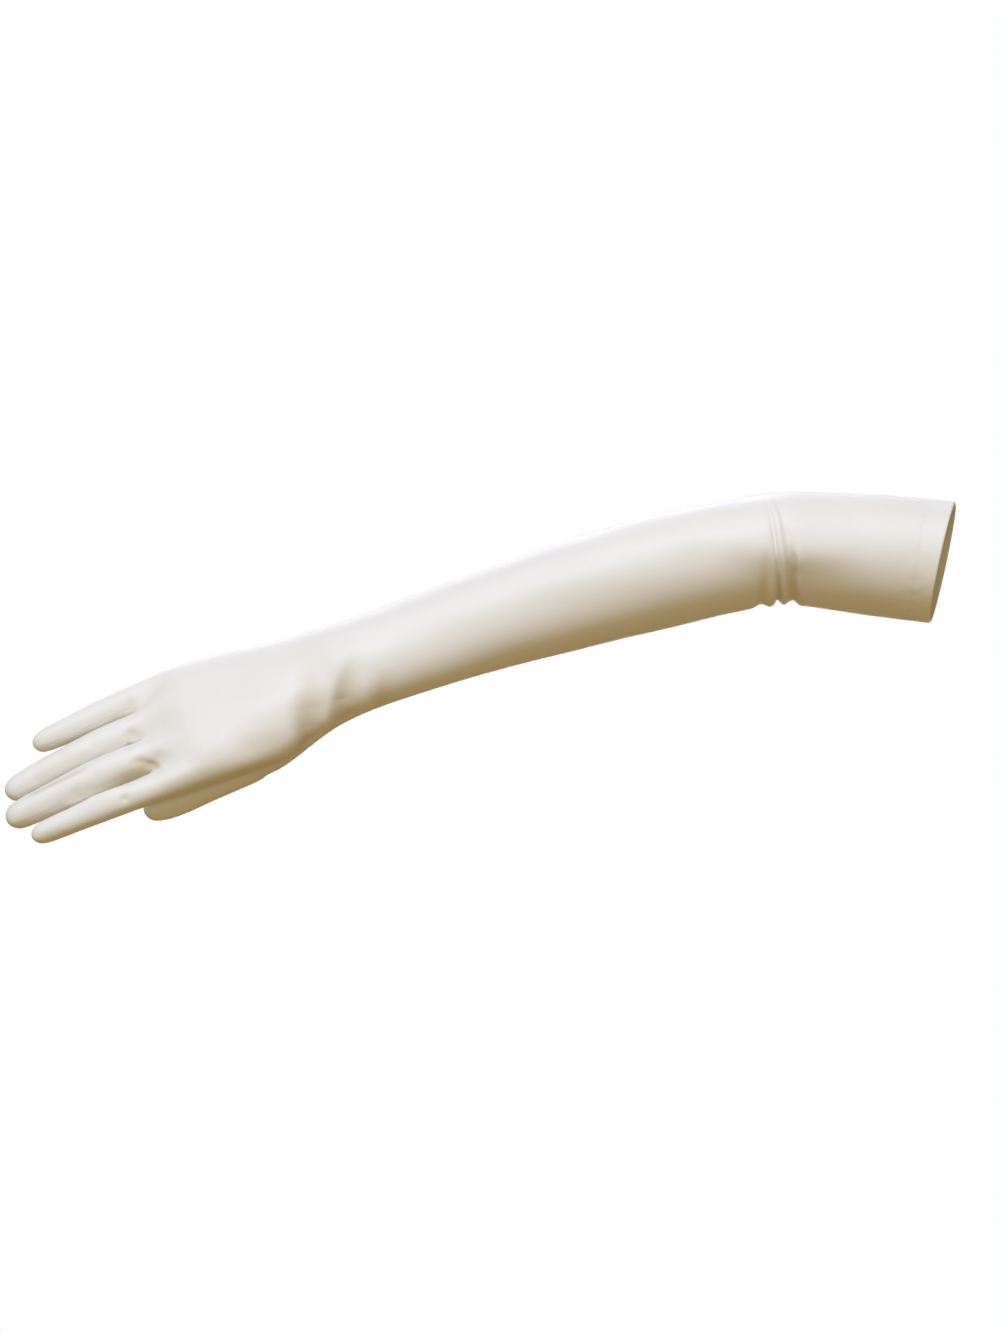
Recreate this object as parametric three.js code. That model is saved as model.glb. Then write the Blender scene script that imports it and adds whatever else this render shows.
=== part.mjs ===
// A long satin evening glove for the right hand, in the form that it has when worn.
// Lengths are in millimetres and angles in degrees.
// The origin is the middle of the open cuff. The hand points to -X, and the back of the
// hand faces -Y and up.
import * as THREE from "three";

// Cloth
const WALL = 1.2;
const HEM_WALL = 1.7;
const SEAM_INSET = 0.25;
const SATIN = { color: 0xece6dc, roughness: 0.5, metalness: 0 };

// Points round the sleeve. Point 0 lies on the index-finger side and point HALF on the
// little-finger side. The points between go over the back, then return under the palm.
const AROUND = 20;
const HALF = AROUND / 2;
const FINGER_POINTS = 8;
const THUMB_POINTS = 10;

// The hand is rolled about its own length, with its little-finger side away, and slopes down.
const HAND_ROLL = 38;
const HAND_SLOPE = 23;
const WRIST = { x: -322.4, z: -58.2 };

// The cuff's edge is cut square to the sleeve, then leans at the top and the far side.
const CUFF_SLOPE = -7;
const CUFF_LEAN = 5;
const CUFF_TURN = 7.5;

// Sleeve sections from the cuff to the wrist: middle, height seen from the side, depth as a
// share of breadth, and roll, by which the seams wind round the sleeve.
const SLEEVE_SECTIONS = [
  { x: 0, z: 0, height: 66.2, flat: 1, roll: 3 },
  { x: -10.5, z: 1.2, height: 66.2, flat: 1, roll: 3 },
  { x: -38, z: 4.2, height: 65.8, flat: 1, roll: 3 },
  { x: -66, z: 6.9, height: 62.4, flat: 1, roll: 3 },
  { x: -75.5, z: 7.6, height: 61.2, flat: 1, roll: 3 },
  { x: -81.5, z: 8.1, height: 60.4, flat: 1, roll: 3 },
  { x: -87.5, z: 8.1, height: 59.9, flat: 1, roll: 3 },
  { x: -94, z: 7.4, height: 59.8, flat: 1, roll: 3 },
  { x: -142, z: -2, height: 61.9, flat: 1, roll: 5 },
  { x: -190, z: -15, height: 60.6, flat: 0.96, roll: 10 },
  { x: -238, z: -29, height: 54.6, flat: 0.88, roll: 20 },
  { x: -280, z: -43, height: 52.2, flat: 0.79, roll: 31 },
  { x: -304, z: -51.4, height: 50, flat: 0.75, roll: 36 },
];

// How far each row of the cuff follows the slant of the edge
const CUFF_ROWS = [1, 0.45];

// The back and the palm are each made in three lengths: sleeve, forearm and hand. These
// are the rows of faces where the last two begin.
const FOREARM_ROW = 8;
const HAND_ROW = SLEEVE_SECTIONS.length;

// Palm sections, measured from the wrist: along the hand, across it towards the little
// finger, and below its middle plane towards the palm. Square is 2 for an ellipse and more
// for a section with fuller corners.
const PALM_SECTIONS = [
  { along: 2, across: 0.6, below: 0, breadth: 57, depth: 42, square: 2 },
  { along: 16, across: 0.6, below: 0, breadth: 60, depth: 38.5, square: 2.1 },
  { along: 33, across: 0, below: 0.5, breadth: 70, depth: 36, square: 2.2 },
  { along: 52, across: 1.6, below: 0.5, breadth: 76.4, depth: 32.5, square: 2.4 },
  { along: 72, across: 4.2, below: 0, breadth: 79.9, depth: 29, square: 2.6 },
  { along: 93, across: 6.4, below: 0, breadth: 80, depth: 26.5, square: 2.6 },
];

// Fingers: place of the root, length to the tip, sideways splay, curl at root and tip,
// radius at root and tip, and the twist of the seams about the finger.
const FINGERS = [
  {
    name: "index", along: 114, across: -22.7, below: 0, length: 78,
    splay: 3.9, curlRoot: 0, curlTip: 8, rootRadius: 8.5, tipRadius: 7.3, twist: 14,
  },
  {
    name: "middle", along: 117, across: -0.2, below: -1, length: 85.6,
    splay: 1.3, curlRoot: 1, curlTip: 9, rootRadius: 8.8, tipRadius: 7.5, twist: 24,
  },
  {
    name: "ring", along: 116, across: 19.9, below: -1, length: 82,
    splay: -0.8, curlRoot: 1, curlTip: 9, rootRadius: 8.6, tipRadius: 7.2, twist: 22,
  },
  {
    name: "little", along: 112, across: 38.6, below: 0, length: 62.2,
    splay: -0.6, curlRoot: 1, curlTip: 9, rootRadius: 7.5, tipRadius: 6.5, twist: 20,
  },
];

// The ring of the hand where the fingers begin. Set is how far a point stands back from the
// finger's root, and out is how far it lies below the middle plane, in finger radii.
const ROOT_BACK = { set: 3, out: -1.02 };
const ROOT_PALM = { set: 1, out: 1 };
const ROOT_EDGE = { set: 3, out: 0 };
const ROOT_EDGE_BACK = { set: 3, out: -0.72 };
const ROOT_EDGE_PALM = { set: 2, out: 0.72 };
const WEB_BACK = { set: 5, out: -0.22 };
const WEB_PALM = { set: 3, out: 0.78 };
const WEB_BELOW = 2.5;

// Rings of a finger: share of its length, and share of the radius there
const FINGER_RINGS = [
  { share: 0.12, width: 1 },
  { share: 0.3, width: 0.97 },
  { share: 0.47, width: 0.99 },
  { share: 0.68, width: 0.93 },
  { share: 0.85, width: 0.9 },
  { share: 0.955, width: 0.73 },
];
const FINGERTIP_REACH = 1.5;
const TWIST_SHARE = 0.3;

// Directions round a finger's ring, from the little-finger side towards the back. The
// side strips between the fingers end at plus and minus FOURCHETTE_ANGLE.
const FOURCHETTE_ANGLE = 40;
const FINGER_ANGLES = [
  180 - FOURCHETTE_ANGLE,
  90,
  FOURCHETTE_ANGLE,
  0,
  -FOURCHETTE_ANGLE,
  -90,
  FOURCHETTE_ANGLE - 180,
  180,
];

// Thumb rings in the palm's directions. Lean tips a ring back towards the palm.
const THUMB_RINGS = [
  { along: 62, across: -24, below: 18.6, radius: 11.4, lean: 66 },
  { along: 80, across: -18, below: 23.2, radius: 9.9, lean: 34 },
  { along: 96, across: -16.8, below: 24, radius: 9.4, lean: 10 },
  { along: 109, across: -17, below: 24, radius: 9.6, lean: -2 },
  { along: 120, across: -17.6, below: 23.4, radius: 8.8, lean: -4 },
  { along: 128, across: -18, below: 22.8, radius: 6.4, lean: -4 },
];
const THUMB_TIP = { along: 133, across: -18.4, below: 22.4 };

// The way that the thumb's inner side faces, towards the palm
const THUMB_INNER = { along: 0, across: 0.55, below: -0.83 };

// The thumb's hole takes two rows by three columns of the palm, on the index-finger side.
const THUMB_ROW = SLEEVE_SECTIONS.length + 2;
const THUMB_COLUMN = 16;

// Folds pressed into the cloth. Each runs as a line in the side view, from its deep end to
// its shallow end, and near folds stay on the side that faces -Y.
const FOLDS = [
  { fromX: -87.5, fromZ: -23, toX: -93.5, toZ: 36, deep: 1.9, shallow: 0.4, width: 1.7 },
  { fromX: -79.5, fromZ: -22, toX: -86.5, toZ: 36, deep: 2, shallow: 0.5, width: 2.6 },
  {
    fromX: -329, fromZ: -91, toX: -337, toZ: -66, deep: 1.4, shallow: 0, width: 5,
    near: true,
  },
  {
    fromX: -317, fromZ: -83, toX: -325, toZ: -53, deep: 1.4, shallow: 0, width: 4.6,
    near: true,
  },
  {
    fromX: -302, fromZ: -79, toX: -309, toZ: -60, deep: 1, shallow: 0, width: 4.2,
    near: true,
  },
];
const FOLD_END = 3;
const FOLD_FACING = { none: -0.3, full: 0.5 };

const radians = THREE.MathUtils.degToRad;
const lerp = THREE.MathUtils.lerp;
const UP = new THREE.Vector3(0, 0, 1);
const AWAY = new THREE.Vector3(0, 1, 0);

// A closed ring of a smoothed mesh shrinks. This widens its corners to make up for it.
function ringGain(points) {
  return 3 / (2 + Math.cos((2 * Math.PI) / points));
}

// The directions of a length of sleeve or hand that slopes down towards -X and is rolled:
// along it, across it towards the little finger, and out of its back.
function limbAxes(slope, rollAngle) {
  const along = new THREE.Vector3(-Math.cos(radians(slope)), 0, -Math.sin(radians(slope)));
  const above = new THREE.Vector3().crossVectors(along, AWAY).normalize();
  if (above.dot(UP) < 0) above.negate();
  const roll = radians(rollAngle);
  const across = new THREE.Vector3()
    .addScaledVector(above, Math.cos(roll))
    .addScaledVector(AWAY, Math.sin(roll));
  const back = new THREE.Vector3()
    .addScaledVector(above, Math.sin(roll))
    .addScaledVector(AWAY, -Math.cos(roll));
  return { along, across, back };
}

const HAND = limbAxes(HAND_SLOPE, HAND_ROLL);

// A vector given in the hand's own directions
function handVector(along, across, below) {
  return new THREE.Vector3()
    .addScaledVector(HAND.along, along)
    .addScaledVector(HAND.across, across)
    .addScaledVector(HAND.back, -below);
}

function handPoint(along, across, below) {
  return handVector(along, across, below).add(new THREE.Vector3(WRIST.x, 0, WRIST.z));
}

// A surface is a list of points and of four-cornered faces, each with its panel's name.
function newSurface() {
  return { points: [], faces: [] };
}

function addPoint(surface, point) {
  surface.points.push(point);
  return surface.points.length - 1;
}

function addFace(surface, corners, panel) {
  surface.faces.push({ corners, panel });
}

// One section of the sleeve or palm, as a ring of rounded points
function sectionPoints(middle, axes, breadth, depth, square) {
  const points = [];
  for (let i = 0; i < AROUND; i += 1) {
    const angle = Math.PI * (1 - i / HALF);
    const cosine = Math.cos(angle);
    const sine = Math.sin(angle);
    const sideways = Math.sign(cosine) * Math.abs(cosine) ** (2 / square);
    const outward = Math.sign(sine) * Math.abs(sine) ** (2 / square);
    points.push(
      middle
        .clone()
        .addScaledVector(axes.across, (sideways * breadth * ringGain(AROUND)) / 2)
        .addScaledVector(axes.back, (outward * depth * ringGain(AROUND)) / 2),
    );
  }
  return points;
}

// The slope of the sleeve at a section, from its neighbours
function sleeveSlope(index) {
  if (index === 0) return CUFF_SLOPE;
  const before = SLEEVE_SECTIONS[index - 1];
  const after = SLEEVE_SECTIONS[index + 1] ?? WRIST;
  return THREE.MathUtils.radToDeg(Math.atan2(before.z - after.z, before.x - after.x));
}

function sleeveRing(section, index) {
  const axes = limbAxes(sleeveSlope(index), section.roll);
  const roll = radians(section.roll);
  const reach = Math.hypot(Math.cos(roll), section.flat * Math.sin(roll));
  const breadth = section.height / reach;
  const middle = new THREE.Vector3(section.x, 0, section.z);
  const points = sectionPoints(middle, axes, breadth, breadth * section.flat, 2);
  const slant = CUFF_ROWS[index] ?? 0;
  for (const point of points) {
    point.x += slant * point.z * Math.tan(radians(CUFF_LEAN));
    point.x += slant * point.y * Math.tan(radians(CUFF_TURN));
  }
  return points;
}

function palmRing(section) {
  const middle = handPoint(section.along, section.across, section.below);
  return sectionPoints(middle, HAND, section.breadth, section.depth, section.square);
}

// The last ring of the hand, where the fingers begin. It runs over each finger's back and
// dips between the fingers. Points of the web itself lie inside it, one per gap.
function fingerRootRing(surface) {
  const gain = ringGain(FINGER_POINTS);
  const ring = new Array(AROUND);
  const place = (index, { along, across, below }, radius, { set, out }) => {
    ring[index] = addPoint(surface, handPoint(along - set, across, below + out * radius));
  };
  FINGERS.forEach((finger, k) => {
    const radius = finger.rootRadius * gain;
    place(2 + 2 * k, finger, radius, ROOT_BACK);
    place(AROUND - 2 - 2 * k, finger, radius, ROOT_PALM);
  });
  const webs = [];
  FINGERS.slice(1).forEach((finger, k) => {
    const other = FINGERS[k];
    const gap = {
      along: (finger.along + other.along) / 2,
      across: (finger.across + other.across) / 2,
      below: (finger.below + other.below) / 2,
    };
    const radius = ((finger.rootRadius + other.rootRadius) / 2) * gain;
    place(3 + 2 * k, gap, radius, WEB_BACK);
    place(AROUND - 3 - 2 * k, gap, radius, WEB_PALM);
    webs.push(addPoint(surface, handPoint(gap.along, gap.across, gap.below + WEB_BELOW)));
  });
  const edges = [
    { finger: FINGERS[0], side: -1, back: 1, middle: 0, palm: AROUND - 1 },
    { finger: FINGERS.at(-1), side: 1, back: HALF - 1, middle: HALF, palm: HALF + 1 },
  ];
  for (const { finger, side, back, middle, palm } of edges) {
    const radius = finger.rootRadius * gain;
    const shifted = (share) => ({ ...finger, across: finger.across + side * share * radius });
    place(back, shifted(-ROOT_EDGE_BACK.out), radius, ROOT_EDGE_BACK);
    place(middle, shifted(1), radius, ROOT_EDGE);
    place(palm, shifted(ROOT_EDGE_PALM.out), radius, ROOT_EDGE_PALM);
  }
  return { ring, webs: [ring[0], ...webs, ring[HALF]] };
}

// The panel of face number i in a row of the sleeve and palm
function limbPanel(row, i) {
  if (row === 0) return "cuff_hem";
  const side = i < HALF ? "back_" : "palm_";
  if (row < FOREARM_ROW) return side + "sleeve";
  return side + (row < HAND_ROW ? "forearm" : "hand");
}

// The panel that face number m round finger k belongs to
function fingerPanel(k, m) {
  const last = FINGERS.length - 1;
  const names = ["index_middle", "middle_ring", "ring_little"];
  if (m === 2 || m === 3) {
    if (k < last) return "fourchette_" + names[k];
    return m === 2 ? "back_hand" : "palm_hand";
  }
  if (m === 6 || m === 7) {
    if (k > 0) return "fourchette_" + names[k - 1];
    return m === 7 ? "back_hand" : "palm_hand";
  }
  return m < 2 ? "back_hand" : "palm_hand";
}

// Joins two rings of the same length by a band of faces
function addBand(surface, ring, next, panelOf) {
  const count = ring.length;
  for (let m = 0; m < count; m += 1) {
    const n = (m + 1) % count;
    addFace(surface, [ring[m], ring[n], next[n], next[m]], panelOf(m));
  }
}

// Closes a ring with faces round a tip, each over two of its sides
function addCap(surface, ring, tip, panelOf) {
  for (let m = 1; m < ring.length; m += 2) {
    const after = (m + 1) % ring.length;
    addFace(surface, [ring[m - 1], ring[m], ring[after], tip], panelOf(m));
  }
}

function addFinger(surface, k, root, webs) {
  const finger = FINGERS[k];
  const gain = ringGain(FINGER_POINTS);
  const firstBack = 1 + 2 * k;
  const lastPalm = AROUND - 1 - 2 * k;
  let ring = [
    root[firstBack],
    root[firstBack + 1],
    root[firstBack + 2],
    webs[k + 1],
    root[lastPalm - 2],
    root[lastPalm - 1],
    root[lastPalm],
    webs[k],
  ];
  const splay = radians(finger.splay);
  const directionAt = (share) => {
    const curl = radians(lerp(finger.curlRoot, finger.curlTip, share));
    return new THREE.Vector3(Math.cos(curl) * Math.cos(splay), Math.sin(splay), Math.sin(curl));
  };
  const place = new THREE.Vector3(finger.along, finger.across, finger.below);
  const side = new THREE.Vector3(-Math.sin(splay), Math.cos(splay), 0);
  let reached = 0;
  const walkTo = (share) => {
    place.addScaledVector(directionAt((reached + share) / 2), finger.length * (share - reached));
    reached = share;
  };
  for (const { share, width } of FINGER_RINGS) {
    walkTo(share);
    const under = new THREE.Vector3().crossVectors(directionAt(share), side);
    const radius = lerp(finger.rootRadius, finger.tipRadius, share) * width * gain;
    const twist = finger.twist * Math.min(1, share / TWIST_SHARE);
    const next = FINGER_ANGLES.map((angle) => {
      const turned = radians(angle + twist);
      const corner = place
        .clone()
        .addScaledVector(side, radius * Math.cos(turned))
        .addScaledVector(under, -radius * Math.sin(turned));
      return addPoint(surface, handPoint(corner.x, corner.y, corner.z));
    });
    addBand(surface, ring, next, (m) => fingerPanel(k, m));
    ring = next;
  }
  walkTo(1);
  const end = place.clone().add(directionAt(1).multiplyScalar(FINGERTIP_REACH));
  const tip = addPoint(surface, handPoint(end.x, end.y, end.z));
  addTipCap(surface, ring, tip);
}

// A fingertip is closed by the back and palm panels alone.
function addTipCap(surface, ring, tip) {
  const [backIndex, back, backLittle, little, palmLittle, palm, palmIndex, index] = ring;
  addFace(surface, [back, backLittle, little, tip], "back_hand");
  addFace(surface, [index, backIndex, back, tip], "back_hand");
  addFace(surface, [little, palmLittle, palm, tip], "palm_hand");
  addFace(surface, [palm, palmIndex, index, tip], "palm_hand");
}

function addThumb(surface, rings) {
  const [first, second, third] = rings.slice(THUMB_ROW, THUMB_ROW + 3);
  const c = THUMB_COLUMN;
  let ring = [
    first[c + 3],
    second[c + 3],
    third[c + 3],
    third[c + 2],
    third[c + 1],
    third[c],
    second[c],
    first[c],
    first[c + 1],
    first[c + 2],
  ];
  const middles = [...THUMB_RINGS, THUMB_TIP].map(
    ({ along, across, below }) => new THREE.Vector3(along, across, below),
  );
  const palmward = new THREE.Vector3(THUMB_INNER.along, THUMB_INNER.across, THUMB_INNER.below);
  const gain = ringGain(THUMB_POINTS);
  THUMB_RINGS.forEach(({ radius, lean }, k) => {
    const forward = middles[k + 1].clone().sub(middles[Math.max(k - 1, 0)]).normalize();
    const inner = palmward.clone().addScaledVector(forward, -palmward.dot(forward)).normalize();
    const side = new THREE.Vector3().crossVectors(forward, inner);
    if (side.y > 0) side.negate();
    const leaning = inner
      .clone()
      .multiplyScalar(Math.cos(radians(lean)))
      .addScaledVector(forward, Math.sin(radians(lean)));
    const next = ring.map((point, m) => {
      const angle = radians(90 - (m - 1) * (360 / THUMB_POINTS));
      const corner = middles[k]
        .clone()
        .addScaledVector(leaning, radius * gain * Math.cos(angle))
        .addScaledVector(side, radius * gain * Math.sin(angle));
      return addPoint(surface, handPoint(corner.x, corner.y, corner.z));
    });
    addBand(surface, ring, next, () => "thumb");
    ring = next;
  });
  const tip = addPoint(surface, handPoint(THUMB_TIP.along, THUMB_TIP.across, THUMB_TIP.below));
  addCap(surface, ring, tip, () => "thumb");
}

// The coarse form of the whole glove
function gloveCage() {
  const surface = newSurface();
  const rings = [...SLEEVE_SECTIONS.map(sleeveRing), ...PALM_SECTIONS.map(palmRing)].map((points) =>
    points.map((point) => addPoint(surface, point)),
  );
  const { ring: root, webs } = fingerRootRing(surface);
  rings.push(root);
  for (let row = 0; row + 1 < rings.length; row += 1) {
    for (let i = 0; i < AROUND; i += 1) {
      const j = (i + 1) % AROUND;
      const holeRow = row === THUMB_ROW || row === THUMB_ROW + 1;
      const holeColumn = i >= THUMB_COLUMN && i < THUMB_COLUMN + 3;
      if (holeRow && holeColumn) continue;
      const corners = [rings[row][i], rings[row][j], rings[row + 1][j], rings[row + 1][i]];
      addFace(surface, corners, limbPanel(row, i));
    }
  }
  FINGERS.forEach((finger, k) => addFinger(surface, k, root, webs));
  addThumb(surface, rings);
  return surface;
}

// Every edge of a surface, with the faces that meet on it
function edgesOf(surface) {
  const edges = new Map();
  surface.faces.forEach(({ corners }, face) => {
    corners.forEach((start, m) => {
      const end = corners[(m + 1) % corners.length];
      const key = start < end ? start + "_" + end : end + "_" + start;
      if (!edges.has(key)) edges.set(key, { ends: [start, end], faces: [] });
      edges.get(key).faces.push(face);
    });
  });
  return edges;
}

function mean(points) {
  const sum = new THREE.Vector3();
  for (const point of points) sum.add(point);
  return sum.divideScalar(points.length);
}

// One step of Catmull-Clark smoothing, which cuts each face in four
function subdivide(surface) {
  const { points, faces } = surface;
  const edges = edgesOf(surface);
  const result = newSurface();
  const around = points.map(() => ({ faces: [], edges: [], rim: [] }));
  const centres = faces.map(({ corners }) => mean(corners.map((corner) => points[corner])));
  faces.forEach(({ corners }, face) => {
    for (const corner of corners) around[corner].faces.push(centres[face]);
  });
  for (const { ends, faces: sides } of edges.values()) {
    const middle = mean(ends.map((end) => points[end]));
    for (const end of ends) {
      around[end].edges.push(middle);
      if (sides.length === 1) around[end].rim.push(middle);
    }
  }
  points.forEach((point, k) => {
    const near = around[k];
    const count = near.faces.length;
    if (count === 0) {
      addPoint(result, point.clone());
      return;
    }
    if (near.rim.length > 0) {
      addPoint(result, mean([point, mean(near.rim)]));
      return;
    }
    const moved = mean(near.faces)
      .addScaledVector(mean(near.edges), 2)
      .addScaledVector(point, count - 3)
      .divideScalar(count);
    addPoint(result, moved);
  });
  for (const edge of edges.values()) {
    const ends = edge.ends.map((end) => points[end]);
    const sides = edge.faces.length === 2 ? edge.faces.map((face) => centres[face]) : [];
    edge.point = addPoint(result, mean([...ends, ...sides]));
  }
  const edgePoint = (a, b) => edges.get(a < b ? a + "_" + b : b + "_" + a).point;
  faces.forEach(({ corners, panel }, face) => {
    const centre = addPoint(result, centres[face]);
    corners.forEach((corner, m) => {
      const next = corners[(m + 1) % 4];
      const before = corners[(m + 3) % 4];
      addFace(
        result,
        [corner, edgePoint(corner, next), centre, edgePoint(corner, before)],
        panel,
      );
    });
  });
  return result;
}

// Moves each point to where endless smoothing would bring it
function settle(surface) {
  const { points, faces } = surface;
  const around = points.map(() => ({ next: [], across: [], rim: [] }));
  for (const { ends, faces: sides } of edgesOf(surface).values()) {
    ends.forEach((end, m) => {
      around[end].next.push(points[ends[1 - m]]);
      if (sides.length === 1) around[end].rim.push(points[ends[1 - m]]);
    });
  }
  for (const { corners } of faces) {
    corners.forEach((corner, m) => around[corner].across.push(points[corners[(m + 2) % 4]]));
  }
  const settled = points.map((point, k) => {
    const { next, across, rim } = around[k];
    const count = across.length;
    if (count === 0) return point.clone();
    if (rim.length > 0) return point.clone().multiplyScalar(2).add(mean(rim)).divideScalar(3);
    return point
      .clone()
      .multiplyScalar(count)
      .addScaledVector(mean(next), 4)
      .add(mean(across))
      .divideScalar(count + 5);
  });
  return { points: settled, faces };
}

function pointNormals({ points, faces }) {
  const normals = points.map(() => new THREE.Vector3());
  for (const { corners } of faces) {
    const [a, b, c, d] = corners.map((corner) => points[corner]);
    const normal = new THREE.Vector3().crossVectors(c.clone().sub(a), d.clone().sub(b));
    for (const corner of corners) normals[corner].add(normal);
  }
  return normals.map((normal) => normal.normalize());
}

// How far a fold presses in the cloth at a point with the given outward normal
function foldDepth(fold, point, normal) {
  const runX = fold.toX - fold.fromX;
  const runZ = fold.toZ - fold.fromZ;
  const length = Math.hypot(runX, runZ);
  const offX = point.x - fold.fromX;
  const offZ = point.z - fold.fromZ;
  const share = (offX * runX + offZ * runZ) / length ** 2;
  const distance = (offX * runZ - offZ * runX) / length;
  const past = Math.max(-share, share - 1, 0) * length;
  const depth = lerp(fold.deep, fold.shallow, THREE.MathUtils.clamp(share, 0, 1));
  const facing = fold.near
    ? THREE.MathUtils.smoothstep(-normal.y, FOLD_FACING.none, FOLD_FACING.full)
    : 1;
  const end = past / (FOLD_END * fold.width);
  const fade = Math.exp(-((distance / fold.width) ** 2) - end ** 2);
  return depth * facing * fade;
}

function pressFolds(surface) {
  const normals = pointNormals(surface);
  surface.points.forEach((point, k) => {
    const depth = FOLDS.reduce((sum, fold) => sum + foldDepth(fold, point, normals[k]), 0);
    point.addScaledVector(normals[k], -depth);
  });
}

// One panel of cloth as a closed wall: the outer skin, the same skin a wall further in,
// and a narrow face along every seam and hem
function panelGeometry(surface, normals, panel, wall) {
  const faces = surface.faces.filter((face) => face.panel === panel);
  const rim = [...edgesOf({ faces }).values()].filter((edge) => edge.faces.length === 1);
  const onRim = new Map(rim.flatMap(({ ends }) => ends.map((end) => [end, []])));
  for (const { corners } of faces) {
    const centre = mean(corners.map((corner) => surface.points[corner]));
    for (const corner of corners) onRim.get(corner)?.push(centre);
  }
  const outer = new Map();
  const positions = [];
  for (const corner of new Set(faces.flatMap((face) => face.corners))) {
    const point = surface.points[corner].clone();
    const centres = onRim.get(corner);
    if (centres) {
      const inward = mean(centres).sub(point).projectOnPlane(normals[corner]).normalize();
      point.addScaledVector(inward, SEAM_INSET);
    }
    outer.set(corner, positions.length / 3);
    positions.push(...point, ...point.clone().addScaledVector(normals[corner], -wall));
  }
  const indices = [];
  const addQuad = (a, b, c, d) => indices.push(a, b, c, a, c, d);
  for (const { corners } of faces) {
    const [a, b, c, d] = corners.map((corner) => outer.get(corner));
    addQuad(a, b, c, d);
    addQuad(d + 1, c + 1, b + 1, a + 1);
  }
  for (const { ends } of rim) {
    const [a, b] = ends.map((end) => outer.get(end));
    addQuad(b, a, a + 1, b + 1);
  }
  const geometry = new THREE.BufferGeometry();
  geometry.setAttribute("position", new THREE.Float32BufferAttribute(positions, 3));
  geometry.setIndex(indices);
  geometry.computeVertexNormals();
  return geometry;
}

function panelMesh(surface, normals, name, wall) {
  const mesh = new THREE.Mesh(
    panelGeometry(surface, normals, name, wall),
    new THREE.MeshStandardMaterial(SATIN),
  );
  mesh.name = name;
  return mesh;
}

function longGlove() {
  const surface = settle(subdivide(gloveCage()));
  const normals = pointNormals(surface);
  pressFolds(surface);
  const glove = new THREE.Group();
  glove.name = "long_glove";
  glove.add(
    panelMesh(surface, normals, "back_sleeve", WALL),
    panelMesh(surface, normals, "palm_sleeve", WALL),
    panelMesh(surface, normals, "back_forearm", WALL),
    panelMesh(surface, normals, "palm_forearm", WALL),
    panelMesh(surface, normals, "back_hand", WALL),
    panelMesh(surface, normals, "palm_hand", WALL),
    panelMesh(surface, normals, "fourchette_index_middle", WALL),
    panelMesh(surface, normals, "fourchette_middle_ring", WALL),
    panelMesh(surface, normals, "fourchette_ring_little", WALL),
    panelMesh(surface, normals, "thumb", WALL),
    panelMesh(surface, normals, "cuff_hem", HEM_WALL),
  );
  return glove;
}

const glove = longGlove();
export default glove;
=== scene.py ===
"""A long satin evening glove for the right hand, in the form that it has when worn.

Tables and lengths named here are in millimetres, and MM turns them into metres.
"""

from collections import namedtuple
from functools import lru_cache
from math import atan2, cos, hypot, pi, radians, sin, tan

import bpy
import numpy as np
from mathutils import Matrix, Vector
from mathutils.kdtree import KDTree


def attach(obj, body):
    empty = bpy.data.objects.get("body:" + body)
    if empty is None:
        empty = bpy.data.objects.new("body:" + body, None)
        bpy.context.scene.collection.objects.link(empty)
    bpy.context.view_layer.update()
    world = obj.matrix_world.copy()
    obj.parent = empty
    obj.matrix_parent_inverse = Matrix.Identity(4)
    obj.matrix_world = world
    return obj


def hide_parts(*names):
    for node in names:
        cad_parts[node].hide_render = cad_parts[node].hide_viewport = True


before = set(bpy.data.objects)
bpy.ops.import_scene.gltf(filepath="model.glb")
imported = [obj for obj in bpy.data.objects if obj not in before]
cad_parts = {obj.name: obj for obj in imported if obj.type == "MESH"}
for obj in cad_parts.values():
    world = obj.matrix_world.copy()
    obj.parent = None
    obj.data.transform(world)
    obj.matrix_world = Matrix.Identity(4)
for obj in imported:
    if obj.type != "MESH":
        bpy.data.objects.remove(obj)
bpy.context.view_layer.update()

bl_info = {
    "name": "Long Satin Glove",
    "version": (1, 0, 0),
    "blender": (4, 5, 0),
    "location": "View3D > Sidebar > Glove",
    "description": "Makes a long satin glove, panel by panel, with its seams and its stage",
    "category": "Add Mesh",
}

MM = 0.001

# Points round the sleeve. Point 0 lies on the index-finger side and point HALF on the
# little-finger side. The points between go over the back, then return under the palm.
AROUND = 20
HALF = AROUND // 2
QUARTER = AROUND // 4
FINGER_POINTS = 8
THUMB_POINTS = 10

# Panels of cloth by number. The fourchettes are the strips between the fingers.
FOURCHETTES = ("fourchette_index_middle", "fourchette_middle_ring", "fourchette_ring_little")
BACK, PALM, FIRST_FOURCHETTE = range(3)
THUMB = FIRST_FOURCHETTE + len(FOURCHETTES)
HEM = THUMB + 1

# The hand is rolled about its own length, with its little-finger side away, and slopes down.
HAND_ROLL = 38
HAND_SLOPE = 23
WRIST = np.array([-322.4, 0.0, -58.2])

# The cuff's edge is cut square to the sleeve, then leans at the top and the far side.
CUFF_SLOPE = -7
CUFF_LEAN = 5
CUFF_TURN = 7.5
CUFF_ROWS = (1.0, 0.45)

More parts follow.
